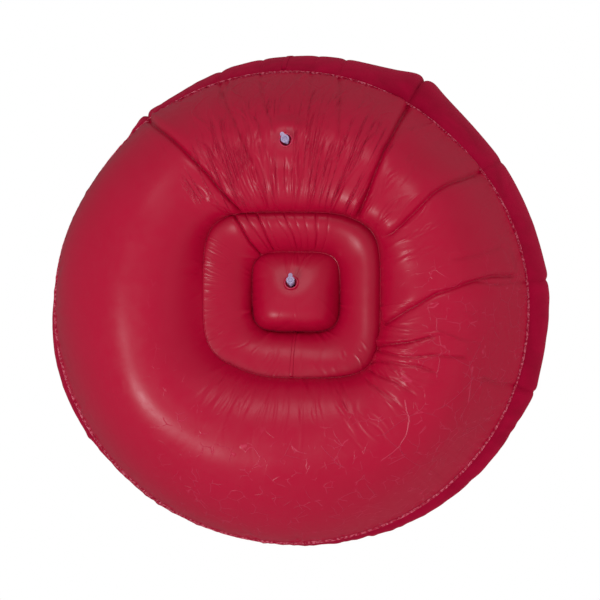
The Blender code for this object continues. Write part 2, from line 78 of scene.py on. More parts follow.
# Seams: half width, half depth and centre, and for the squares also height and squareness
PERIMETER_OVAL = (0.501, 0.496, (0.013, -0.010))
PERIMETER_FRONT_HEIGHT = 0.205
PERIMETER_BACK_RISE = 0.040
RIM_OVAL = (0.488, 0.472, (0.0, -0.004))
RIM_BELOW_CREST = 0.085
CREST_OVAL = (0.405, 0.39, (0.0, -0.004))
WELL_MOUTH = (0.181, 0.169, (-0.008, 0.029), 0.087, 4.5)
WELL_FLOOR = (0.091, 0.0825, (-0.012, 0.032), 0.135, 4.5)
SEAT = (0.200, 0.185, (0.0, -0.022), 0.255, 3.2)
SEAT_CROWN = 0.032
PILLOW_DEPTH = 0.0440
# Height of the standing ring, and how much further up the back of it is
RING_HEIGHT = 0.003
REAR_LIFT = 0.024
# The side wall's outline isn't a true oval: (harmonic, cosine part, sine part)
SIDE_OUTLINE = (
    (0, -0.0059, 0.0), (1, -0.0044, -0.0067), (2, 0.0001, -0.0047), (3, 0.0109, -0.0008),
    (4, 0.0042, 0.0042), (5, -0.0008, 0.0022), (6, -0.0009, -0.0002),
)


radians = np.radians


def away(azimuth):
    return np.stack([np.sin(azimuth), np.cos(azimuth), np.zeros_like(azimuth)], -1)


def signed(azimuth):
    return (azimuth + math.pi) % FULL_TURN - math.pi


def smooth_step(value, low, high):
    share = np.clip((value - low) / (high - low), 0.0, 1.0)
    return share * share * (3 - 2 * share)


def az_bell(azimuth, centre, spread):
    """A bell over azimuth, centre and spread in degrees."""
    return np.exp(-(signed(azimuth - radians(centre)) / radians(spread)) ** 2)


def back_weight(azimuth):
    return ((1 + np.cos(azimuth)) / 2) ** BACK_RISE_POWER


def oval(azimuth, half_width, half_depth, centre, z):
    z = np.broadcast_to(z, azimuth.shape)
    x = centre[0] + half_width * np.sin(azimuth)
    y = centre[1] + half_depth * np.cos(azimuth)
    return np.stack([x, y, z], -1)


def square(azimuth, half_width, half_depth, centre, z, squareness):
    across = np.abs(np.sin(azimuth) / half_width) ** squareness
    along = np.abs(np.cos(azimuth) / half_depth) ** squareness
    radius = (across + along) ** (-1 / squareness)
    z = np.broadcast_to(z, azimuth.shape)
    x = centre[0] + radius * np.sin(azimuth)
    y = centre[1] + radius * np.cos(azimuth)
    return np.stack([x, y, z], -1)


def harmonics(azimuth, parts):
    total = np.zeros_like(azimuth)
    for order, cosine, sine in parts:
        total = total + cosine * np.cos(order * azimuth) + sine * np.sin(order * azimuth)
    return total


def noise_ring(seed, low, high, power=1.0):
    """A function of azimuth: the sum of many waves, low to high per turn, RMS about 1."""
    draw = np.random.default_rng(seed)
    orders = np.arange(low, high)
    sizes = draw.normal(size=len(orders)) / orders ** power
    sizes /= math.sqrt((sizes ** 2).sum() / 2)
    phases = draw.uniform(0, FULL_TURN, len(orders))

    def value(azimuth):
        flat = np.asarray(azimuth).ravel()
        total = np.zeros_like(flat)
        for order, size, phase in zip(orders, sizes, phases):
            total += size * np.cos(order * flat + phase)
        return total.reshape(np.shape(azimuth))

    return value


seam_wave = noise_ring(11, 30, 260, 0.6)
rim_wave = noise_ring(12, 20, 200, 0.7)


def crest_height(azimuth):
    return FRONT_HEIGHT + (CHAIR_HEIGHT - FRONT_HEIGHT) * back_weight(azimuth)


def perimeter(azimuth):
    height = PERIMETER_FRONT_HEIGHT + PERIMETER_BACK_RISE * back_weight(azimuth)
    line = oval(azimuth, *PERIMETER_OVAL, height)
    line = line + away(azimuth) * (-0.006 * az_bell(azimuth, 55, 16))[..., None]
    line = line + away(azimuth) * (-0.005 * az_bell(azimuth, -45, 18))[..., None]
    return line + UP * (0.0004 * seam_wave(azimuth))[..., None]


def rim(azimuth):
    line = oval(azimuth, *RIM_OVAL, crest_height(azimuth) - RIM_BELOW_CREST)
    return line + UP * (0.0008 * rim_wave(azimuth))[..., None]


def crest(azimuth):
    return oval(azimuth, *CREST_OVAL, crest_height(azimuth))


def well_mouth(azimuth):
    line = square(azimuth, *WELL_MOUTH)
    cut = 0.018 * az_bell(azimuth, 138, 17) + 0.006 * az_bell(azimuth, -42, 12)
    return line - away(azimuth) * cut[..., None]


def well_floor(azimuth):
    return square(azimuth, *WELL_FLOOR)


def seat_edge(azimuth):
    return square(azimuth, *SEAT)


def standing_height(azimuth):
    share = smooth_step(radians(68) - np.abs(signed(azimuth)), 0.0, radians(36))
    return RING_HEIGHT + REAR_LIFT * share


# ---------------------------------------------------------------- base surfaces

def bezier(start, start_handle, end_handle, end, steps):
    t = np.linspace(0, 1, steps)[None, :, None]
    s = 1 - t
    a, ha, hb, b = (v[:, None, :] for v in (start, start_handle, end_handle, end))
    return a * s ** 3 + (a + ha) * 3 * s * s * t + (b + hb) * 3 * s * t * t + b * t ** 3


def handle(azimuth, out, up):
    out = np.broadcast_to(out, azimuth.shape)
    up = np.broadcast_to(up, azimuth.shape)
    return away(azimuth) * out[:, None] + UP * up[:, None]


def run_lengths(grid):
    """Distance of every point from the first row, along its column."""
    step = np.linalg.norm(np.diff(grid, axis=1), axis=2)
    return np.concatenate([np.zeros((len(grid), 1)), np.cumsum(step, axis=1)], 1)


def resample(grid, rows):
    """The same columns with rows at even distances."""
    run = run_lengths(grid)
    run /= run[:, -1:]
    share = np.linspace(0, 1, rows)
    out = np.empty((len(grid), rows, 3))
    for column in range(len(grid)):
        for axis in range(3):
            out[column, :, axis] = np.interp(share, run[column], grid[column, :, axis])
    return out


def smooth_rows(grid, rounds):
    """Rounds off the joins between two curves of a column; the two ends stay."""
    for _ in range(rounds):
        middle = (grid[:, :-2] + grid[:, 2:]) / 4 + grid[:, 1:-1] / 2
        grid = np.concatenate([grid[:, :1], middle, grid[:, -1:]], 1)
    return grid


def corner_push(azimuth):
    """Where the back rest bends out of the ring the side wall is pushed out to a blunt corner."""
    right = 0.030 * np.exp(-np.abs(signed(azimuth - radians(-29.2))) / radians(13))
    left = 0.019 * np.exp(-np.abs(signed(azimuth - radians(38.5))) / radians(6.5))
    notch = 0.005 * np.exp(-np.abs(signed(azimuth - radians(-109.5))) / radians(2.5))
    return right + left + notch


def side_start(azimuth):
    """The side wall's way up from the perimeter weld: outwards and upwards."""
    low = perimeter(azimuth)
    high = rim(azimuth)
    rise = high[:, 2] - low[:, 2]
    middle = (low + high) / 2
    wide = oval(azimuth, SIDE_HALF_WIDTH, SIDE_HALF_DEPTH, (0.0, 0.0), middle[:, 2])
    push = ((wide - middle) * away(azimuth)).sum(1) + corner_push(azimuth)
    bulge = (push + harmonics(azimuth, SIDE_OUTLINE)) * 8 / 3 / 1.75
    return bulge, 0.026 + 0.20 * rise


def bottom_base(azimuth):
    mouth = well_mouth(azimuth)
    edge = perimeter(azimuth)
    inner = mouth + (edge - mouth) * 0.34
    outer = mouth + (edge - mouth) * 0.40
    inner[:, 2] = outer[:, 2] = standing_height(azimuth)
    left = az_bell(azimuth, 100, 38)
    out, up = side_start(azimuth)
    out = 0.5 * np.maximum(out - corner_push(azimuth), 0.0)
    size = 0.112 / np.hypot(out, up)
    down = bezier(mouth, handle(azimuth, 0.004 + 0.022 * left, -0.052 + 0.026 * left),
                  handle(azimuth, -0.052, 0.0), inner, 60)
    rise = bezier(outer, handle(azimuth, 0.090, 0.0), handle(azimuth, -out * size, -up * size),
                  edge, 80)
    grid = resample(np.concatenate([down, rise], 1), BOTTOM_ROWS)
    return smooth_rows(grid, 8)


def side_base(azimuth):
    low = perimeter(azimuth)
    high = rim(azimuth)
    rise = high[:, 2] - low[:, 2]
    bulge, up = side_start(azimuth)
    grid = bezier(low, handle(azimuth, bulge, up), handle(azimuth, bulge * 0.75, -0.36 * rise),
                  high, 80)
    return resample(grid, SIDE_ROWS)


def top_base(azimuth):
    edge = rim(azimuth)
    top = crest(azimuth)
    seat = seat_edge(azimuth)
    drop = top[:, 2] - seat[:, 2]
    over = bezier(edge, handle(azimuth, 0.020, 0.048), handle(azimuth, 0.040, 0.0), top, 60)
    inside = bezier(top, handle(azimuth, -0.085, 0.0), handle(azimuth, 0.035, 0.52 * drop), seat,
                    80)
    grid = resample(np.concatenate([over, inside[:, 1:]], 1), TOP_ROWS)
    return smooth_rows(grid, 2)


def wall_base(azimuth):
    """The ring between the two openings: it turns in sharply at the back and on the right."""
    flat = np.clip(az_bell(azimuth, 112, 58) + 0.7 * az_bell(azimuth, 180, 40), 0, 1)
    grid = bezier(well_mouth(azimuth), handle(azimuth, -0.026 - 0.016 * flat, -0.024 + 0.021 * flat),
                  handle(azimuth, 0.012, -0.034), well_floor(azimuth), 60)
    return resample(grid, WALL_ROWS)


def column_azimuths():
    """Azimuths of the columns, closer together where the folds are."""
    fine = np.linspace(-math.pi, math.pi, 7201)
    density = 1 + 0.9 * az_bell(fine, 0, 62) + 0.6 * az_bell(fine, -95, 40)
    run = np.concatenate([[0.0], np.cumsum((density[1:] + density[:-1]) / 2)])
    share = np.arange(COLUMNS) / COLUMNS * run[-1]
    return np.interp(share, run, fine)


# ---------------------------------------------------------------- folds and puckers

class Relief:
    """Heights to add to a sheet along its normals."""

    def __init__(self, azimuth, grid):
        self.azimuth = azimuth
        self.grid = grid
        rows = grid.shape[1]
        self.v = np.broadcast_to(np.linspace(0, 1, rows), grid.shape[:2])
        self.radius = np.hypot(grid[..., 0], grid[..., 1])
        self.from_start = run_lengths(grid)
        self.from_end = self.from_start[:, -1:] - self.from_start
        self.height = np.zeros(grid.shape[:2])

    def lateral(self, path):
        """Distance of every point from a line, (azimuth in degrees, v) pairs, and the line's v."""
        path = sorted(path, key=lambda pair: pair[1])
        values = np.array([pair[1] for pair in path])
        angles = np.array([pair[0] for pair in path])
        centre = np.interp(self.v[0], values, angles)
        kernel = np.array([1, 2, 3, 2, 1]) / 9.0
        padded = np.pad(centre, 2, mode="reflect", reflect_type="odd")
        centre = np.convolve(padded, kernel, "valid")
        across = signed(self.azimuth[:, None] - radians(centre)[None, :])
        return across * self.radius, values[0], values[-1]

    def ends(self, low, high, soft_low, soft_high):
        grow = smooth_step(self.v, low - soft_low, low + soft_low * 0.3)
        fade = 1 - smooth_step(self.v, high - soft_high * 0.3, high + soft_high)
        return grow * fade

    def fold(self, path, depth, width, shoulder=0.5, lean=0.0, soft=(0.04, 0.04), reach=4.0):
        """A sharp groove where the sheet doubles in, with full shoulders beside it.

        lean, from -1 to 1, raises the shoulder on one side and lowers the other.
        """
        d, low, high = self.lateral(path)
        mask = self.ends(low, high, *soft)
        groove = np.exp(-(np.sqrt(d * d + (0.18 * width) ** 2) - 0.18 * width) / width)
        far = np.abs(d) / (reach * width)
        side = 1 + lean * np.tanh(d / width)
        bank = shoulder * side * far * np.exp(1 - far)
        self.height += depth * mask * (bank - groove * (1 + shoulder * 0.3))

    def ridge(self, path, height, width, soft=(0.05, 0.05), spread=0.0):
        """A narrow raised wrinkle."""
        d, low, high = self.lateral(path)
        mask = self.ends(low, high, *soft)
        wide = width * (1 + spread * (self.v - low) / max(high - low, 0.01))
        self.height += height * mask * np.exp(-(d / wide) ** 2)

    def puckers(self, seed, count, end, length, height, pitch_width, tilt, where=None):
        """Short folds square to a weld: end 0 is the first weld, 1 the last."""
        draw = np.random.default_rng(seed)
        reach = self.from_start if end == 0 else self.from_end
        radius = self.radius[:, 0 if end == 0 else -1]
        for _ in range(count):
            centre = draw.uniform(-math.pi, math.pi)
            size = draw.gamma(2.2, 0.45)
            long = length * (0.35 + size * 0.65)
            wide = pitch_width * (0.6 + 0.4 * size)
            sign = 1.0 if draw.uniform() < 0.62 else -0.9
            lean = draw.normal() * tilt
            share = 1.0 if where is None else where(centre)
            if share <= 0.02:
                continue
            near = np.abs(signed(self.azimuth - centre)) * radius < wide * 5 + abs(lean) * long
            rows = reach[near]
            across = signed(self.azimuth[near] - centre)[:, None] * self.radius[near]
            across = across - lean * rows
            spread = wide * (0.55 + 1.1 * rows / long)
            along = np.exp(-(rows / long) ** 1.5) * smooth_step(rows, 0.0, 0.014)
            self.height[near] += sign * share * height * size * along * np.exp(
                -(across / spread) ** 2)

    def streaks(self, seed, count, azimuths, values, height, width, length, lean=0.0):
        """Loose radial wrinkles scattered over a region. Azimuths in degrees, length in v."""
        draw = np.random.default_rng(seed)
        for _ in range(count):
            centre = radians(draw.uniform(*azimuths))
            start = draw.uniform(*values)
            long = length * draw.uniform(0.45, 1.2)
            wide = width * draw.uniform(0.7, 1.5)
            size = height * draw.uniform(0.4, 1.3) * (1 if draw.uniform() < 0.7 else -0.8)
            slope = radians(lean + draw.normal() * 4.0)
            bend = draw.normal() * radians(3.0)
            near = np.abs(signed(self.azimuth - centre)) < radians(14)
            share = (self.v[near] - start) / long
            line = centre + slope * (self.v[near] - start) + bend * share * share
            across = signed(self.azimuth[near][:, None] - line) * self.radius[near]
            body = np.exp(-np.abs(share) ** 3 * 2.2)
            cross = np.exp(-(across / wide) ** 2)
            self.height[near] += size * body * cross

    def crinkles(self, seed, count, azimuths, values, height, width, length):
        """Short creases in any direction, left from folding the sheet for storage."""
        draw = np.random.default_rng(seed)
        scale = self.from_start[:, -1].mean()
        for _ in range(count):
            centre = radians(draw.uniform(*azimuths))
            at = draw.uniform(*values)
            turn = draw.uniform(0, math.pi)
            long = length * draw.gamma(3.0, 0.33)
            wide = width * draw.uniform(0.7, 1.3)
            size = height * draw.uniform(0.3, 1.0) * (1 if draw.uniform() < 0.75 else -1)
            curve = draw.normal() * 0.35
            column = np.abs(signed(self.azimuth - centre)) < radians(10)
            x = signed(self.azimuth[column] - centre)[:, None] * self.radius[column]
            y = (self.v[column] - at) * scale
            along = x * math.cos(turn) + y * math.sin(turn)
            across = y * math.cos(turn) - x * math.sin(turn) - curve * along * along / long
            self.height[column] += size * np.exp(-(along / long) ** 4) * np.exp(
                -(across / wide) ** 2)


def grid_normals(grid):
    """Unit normals of a grid that closes on itself in azimuth."""
    across = np.roll(grid, -1, axis=0) - np.roll(grid, 1, axis=0)
    normal = np.cross(np.gradient(grid, axis=1), across)
    size = np.linalg.norm(normal, axis=2, keepdims=True)
    return normal / np.maximum(size, 1e-12)


def displaced(grid, normals, height):
    """The grid moved along its normals; its first and last rows, at the welds, stay."""
    height = height.copy()
    height[:, [0, -1]] = 0
    return grid + normals * height[..., None]


# ---------------------------------------------------------------- meshes

def mesh_object(name, points, faces, material, smooth=True):
    mesh = bpy.data.meshes.new(name)
    mesh.from_pydata(points, [], faces)
    mesh.validate()
    if smooth:
        mesh.shade_smooth()
    obj = bpy.data.objects.new(name, mesh)
    bpy.context.scene.collection.objects.link(obj)
    mesh.materials.append(material)
    return obj


def ring_faces(columns, rows, flip=False, tube=False):
    """Quads of a grid that closes on itself in azimuth, and as a tube across its rows too."""
    row = np.arange(rows if tube else rows - 1)[None, :]
    after = (row + 1) % rows
    here = np.arange(columns)[:, None] * rows
    there = (np.arange(columns)[:, None] + 1) % columns * rows
    faces = np.stack([here + row, here + after, there + after, there + row], -1).reshape(-1, 4)
    return faces[:, ::-1] if flip else faces


def sheet_object(name, grid, thickness, material, flip, centre=None):
    """A sheet from its grid, given its thickness inwards. With a centre it closes there."""
    columns, rows = grid.shape[:2]
    points = grid.reshape(-1, 3)
    faces = ring_faces(columns, rows, flip).tolist()
    if centre is not None:
        points = np.concatenate([points, [centre]])
        last = len(points) - 1
        for column in range(columns):
            here = column * rows + rows - 1
            there = (column + 1) % columns * rows + rows - 1
            faces.append([there, last, here] if flip else [here, last, there])
    obj = mesh_object(name, points.tolist(), faces, material)
    solid = obj.modifiers.new("thickness", "SOLIDIFY")
    solid.thickness = thickness
    solid.offset = -1
    return obj


# ---------------------------------------------------------------- materials

class Graph:
    """Short calls for a material's nodes. A value is a number, a colour or a node's output."""

    def __init__(self, name, **settings):
        self.material = bpy.data.materials.new(name)
        self.material.use_nodes = True
        self.tree = self.material.node_tree
        self.shader = self.tree.nodes["Principled BSDF"]
        self.place = self.node("ShaderNodeTexCoord").outputs["Object"]
        self.feed(self.shader, **settings)

    def node(self, kind, **settings):
        made = self.tree.nodes.new(kind)
        for key, value in settings.items():
            setattr(made, key, value)
        return made

    def give(self, socket, value):
        if isinstance(value, bpy.types.NodeSocket):
            self.tree.links.new(value, socket)
        elif isinstance(value, tuple):
            socket.default_value = (*value, 1.0)
        else:
            socket.default_value = value

    def feed(self, node, **values):
        for key, value in values.items():
            self.give(node.inputs[key.replace("_", " ")], value)
        return node

    def noise(self, scale, detail=3.0, roughness=0.5, distortion=0.0, source=None):
        made = self.feed(self.node("ShaderNodeTexNoise"), Scale=scale, Detail=detail,
                         Roughness=roughness, Distortion=distortion, Vector=source or self.place)
        return made.outputs["Fac"]

    def cracks(self, scale, warp):
        """Distance to the edges of a Voronoi pattern, on warped coordinates."""
        shift = self.feed(self.node("ShaderNodeTexNoise"), Scale=scale * 0.6, Detail=2.0,
                          Vector=self.place)
        bent = self.feed(self.node("ShaderNodeMixRGB", blend_type="LINEAR_LIGHT"), Fac=warp,
                         Color1=self.place, Color2=shift.outputs["Color"])
        made = self.feed(self.node("ShaderNodeTexVoronoi", feature="DISTANCE_TO_EDGE"),
                         Scale=scale, Vector=bent.outputs["Color"])
        return made.outputs["Distance"]

    def remap(self, value, low, high, to_low=0.0, to_high=1.0):
        made = self.node("ShaderNodeMapRange", interpolation_type="SMOOTHSTEP")
        self.feed(made, Value=value, From_Min=low, From_Max=high, To_Min=to_low, To_Max=to_high)
        return made.outputs["Result"]

    def math(self, operation, first, second=0.0):
        made = self.node("ShaderNodeMath", operation=operation)
        self.give(made.inputs[0], first)
        self.give(made.inputs[1], second)
        return made.outputs[0]

    def mix(self, factor, first, second):
        """The first colour, changed towards the second."""
        made = self.feed(self.node("ShaderNodeMixRGB"), Fac=factor, Color1=first, Color2=second)
        return made.outputs["Color"]

    def bump(self, height, distance, strength=1.0, before=None):
        made = self.feed(self.node("ShaderNodeBump"), Distance=distance, Strength=strength,
                         Height=height)
        if before is not None:
            self.feed(made, Normal=before)
        return made.outputs["Normal"]

    def finish(self, colour, roughness, normal):
        self.feed(self.shader, Base_Color=colour, Roughness=roughness, Normal=normal)
        return self.material


def around(g):
    """X and Y of the shaded point, and its distance from the chair's middle."""
    apart = g.feed(g.node("ShaderNodeSeparateXYZ"), Vector=g.place)
    x, y = apart.outputs["X"], apart.outputs["Y"]
    square_sum = g.math("ADD", g.math("MULTIPLY", x, x), g.math("MULTIPLY", y, y))
    return x, y, g.math("SQRT", square_sum)


def front_share(g, reach):
    """1 over the front of the chair, up to the given X, and 0 over the back and the well."""
    x, y, radius = around(g)
    ahead = g.math("MULTIPLY", g.remap(y, 0.16, 0.02), g.remap(radius, 0.22, 0.28))
    return g.math("MULTIPLY", ahead, g.remap(x, reach, reach - 0.10))


def back_wrinkles(g):
    """Fine wrinkles that run out from the well, over the back."""
    x, y, radius = around(g)
    turn = g.math("ARCTAN2", x, g.math("ADD", y, 0.05))
    place = g.feed(g.node("ShaderNodeCombineXYZ"), X=g.math("MULTIPLY", turn, 42.0),
                   Y=g.math("MULTIPLY", radius, 5.0))
    crest = g.remap(g.noise(1.0, 4.0, 0.62, 0.25, place.outputs["Vector"]), 0.50, 0.70)
    crest = g.math("MULTIPLY", crest, g.remap(radius, 0.20, 0.26))
    sector = g.remap(g.math("ABSOLUTE", turn), 0.75, 0.45)
    sector = g.math("MULTIPLY", sector, g.remap(g.noise(11.0, 2.0), 0.42, 0.60, 0.05, 1.0))
    return g.math("MULTIPLY", crest, g.math("MULTIPLY", g.remap(radius, 0.50, 0.40), sector))


def vinyl_material():
    """Smooth PVC film: a satin gloss, faint storage creases and a slightly cloudy colour."""
    g = Graph("red_vinyl", IOR=1.5, Specular_IOR_Level=0.33)
    gloss = g.noise(38.0, 4.0, 0.6)
    bump = g.bump(g.noise(900.0, 2.0, 0.5), 0.00002, 0.6)
    bump = g.bump(g.noise(70.0, 3.0, 0.55, 0.4), 0.0006, 0.22, bump)
    # thin raised lines where the film has been folded for storage, paler than the film: partly the
    # whitening of folded PVC, partly a painted glint on the crease ridges
    crease_whitening_and_glint = 0.0
    for scale, size, reach in ((13.0, 0.0010, 0.06), (34.0, 0.0007, 0.30)):
        lines = g.remap(g.cracks(scale, 0.012), 0.0, scale * 0.0009, 1.0, 0.0)
        patch = g.remap(g.noise(scale * 0.9, 2.0), 0.50, 0.58)
        lines = g.math("MULTIPLY", lines, g.math("MULTIPLY", patch, front_share(g, reach)))
        bump = g.bump(lines, size, 0.7, bump)
        crease_whitening_and_glint = g.math("MAXIMUM", crease_whitening_and_glint, lines)
    film = g.mix(g.noise(7.0, 4.0, 0.55), (0.385, 0.0003, 0.0250), (0.425, 0.0005, 0.0310))
    # painted glint: the crease lines are mixed towards pale pink, together with the PVC's own
    # whitening
    colour = g.mix(g.math("MULTIPLY", crease_whitening_and_glint, 0.42), film, (0.60, 0.050, 0.115))
    return g.finish(colour, g.remap(gloss, 0.3, 0.7, 0.31, 0.38),
                    g.bump(back_wrinkles(g), 0.0034, 0.85, bump))


def weld_material():
    """PVC that has been pressed by the welding tool: glossier and a little paler, with random patches
    painted pale pink as glints along the weld.
    """
    g = Graph("welded_vinyl", IOR=1.5, Specular_IOR_Level=0.6)
    weld_glint_and_gloss = g.noise(210.0, 3.0, 0.6)
    # painted glints: random patches of the weld are coloured pale pink like the film's highlights;
    # the same noise also varies the gloss
    colour = g.mix(g.remap(weld_glint_and_gloss, 0.45, 0.65), (0.42, 0.004, 0.040), (0.74, 0.16, 0.24))
    return g.finish(colour, g.remap(weld_glint_and_gloss, 0.3, 0.7, 0.22, 0.34),
                    g.bump(g.noise(900.0, 2.0), 0.00004, 0.6))


def flocked_material():
    """Flocked PVC: a short velvet pile, coloured lighter and darker in patches where it has been
    brushed, a painted sheen of the nap, with the fibres' own random tone.
    """
    g = Graph("red_flocking", IOR=1.45, Specular_IOR_Level=0.03, Sheen_Weight=0.14,
              Sheen_Roughness=0.45, Sheen_Tint=(1.0, 0.16, 0.26))
    brushed = g.noise(11.0, 4.0, 0.6, 0.8)
    pile = g.noise(1500.0, 2.0, 0.6)
    nap_sheen_and_tone = g.math("ADD", g.math("MULTIPLY", brushed, 0.7), g.math("MULTIPLY", pile, 0.3))
    # painted sheen: brushed patches of the pile are coloured lighter and darker, mixed with the
    # fibres' own random tone
    colour = g.mix(g.remap(nap_sheen_and_tone, 0.3, 0.7), (0.255, 0.0010, 0.020), (0.345, 0.0018, 0.029))
    fibres = g.bump(pile, 0.00025, 0.6)
    return g.finish(colour, g.remap(brushed, 0.2, 0.8, 0.84, 0.98),
                    g.bump(g.noise(60.0, 4.0, 0.6), 0.0009, 0.35, fibres))


def moulded_material(name, first, second, smoothest, roughest, **settings):
    """Moulded PVC, with haze between two colours."""
    g = Graph(name, IOR=1.5, **settings)
    haze = g.noise(160.0, 3.0, 0.5)
    return g.finish(g.mix(haze, first, second), g.remap(haze, 0.3, 0.7, smoothest, roughest),
                    g.bump(g.noise(700.0, 2.0), 0.00012, 0.5))


VINYL = vinyl_material()
WELD = weld_material()
FLOCKED = flocked_material()
VALVE = moulded_material("clear_violet_pvc", (0.47, 0.36, 0.66), (0.64, 0.53, 0.80), 0.18, 0.34,
                         Transmission_Weight=0.45, Specular_IOR_Level=0.6)
# the cup is welded to the red film, so its clear PVC shows red; painted light: its red is brighter
# than the film's, to lift the shade in the deep recess round the plug
CUP = moulded_material("valve_cup_pvc", (0.52, 0.020, 0.070), (0.62, 0.035, 0.090), 0.22, 0.36,
                       Specular_IOR_Level=0.5)


# ---------------------------------------------------------------- the sheets

azimuth = column_azimuths()

# The point of the sheet that each valve stands on, and the azimuth of its pull tab in degrees
VALVE_STANDS = {"main": ((-0.003172, 0.343022, 0.026746), 30), "seat": ((-0.006, 0.054, 0.099), 2)}
HOLE_RADIUS = 0.0126
VALVE_FLAT_RADIUS = 0.020
VALVE_FADE_RADIUS = 0.060
SEAT_VALVE_LEAN = math.radians(24)


def valve_frame(prefix):
    """Local +Z along the plug's way out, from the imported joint, and local +X along its tab."""
    stand, tab_azimuth = VALVE_STANDS[prefix]
    joint = next(j for j in frame["joints"] if j["name"] == prefix + "_plug_pull")
    axis = Vector(joint["axis"]).normalized()
    tab = Vector(away(radians(tab_azimuth)))
    tab = (tab - axis * tab.dot(axis)).normalized()
    turn = Matrix((tab, axis.cross(tab), axis)).transposed().to_4x4()
    return Matrix.Translation(stand) @ turn


VALVE_FRAMES = {prefix: valve_frame(prefix) for prefix in VALVE_STANDS}


def flatten_round_valve(grid):
    """Brings the underside into the plane of the main valve's flange."""
    place = np.array(VALVE_FRAMES["main"])
    axis = place[:3, 2]
    offset = grid - place[:3, 3]
    height = offset @ axis
    across = np.linalg.norm(offset - height[..., None] * axis, axis=-1)
    share = 1 - smooth_step(across, VALVE_FLAT_RADIUS, VALVE_FADE_RADIUS)
    share = share * (np.abs(height) < VALVE_FADE_RADIUS)
    return grid - axis * (height * share)[..., None]


BACK_RIGHT_FOLD = ((-30.2, 1.0), (-31.0, 0.719), (-32.5, 0.463), (-34.8, 0.312), (-38.0, 0.175),
                   (-40.0, 0.10))
BACK_LEFT_FOLD = ((36.8, 1.0), (35.0, 0.700), (33.8, 0.569), (32.5, 0.431), (30.8, 0.312),
                  (30.0, 0.194), (30.2, 0.06))
RIGHT_ARM_FOLD = ((-54.0, 1.0), (-53.2, 0.706), (-52.5, 0.569), (-52.5, 0.456), (-53.5, 0.369),
                  (-54.8, 0.287), (-56.8, 0.18))
RIGHT_SIDE_FOLD = ((-81.0, 0.863), (-80.5, 0.675), (-81.0, 0.588), (-82.2, 0.487),
                   (-83.8, 0.412), (-85.0, 0.344), (-88.2, 0.287), (-92.8, 0.219),
                   (-105.2, 0.087))


def back_share(centre):
    """The long puckers of the underside are strongest at the back."""
    return 0.45 + 0.75 * float(az_bell(np.array(centre), 0, 50))


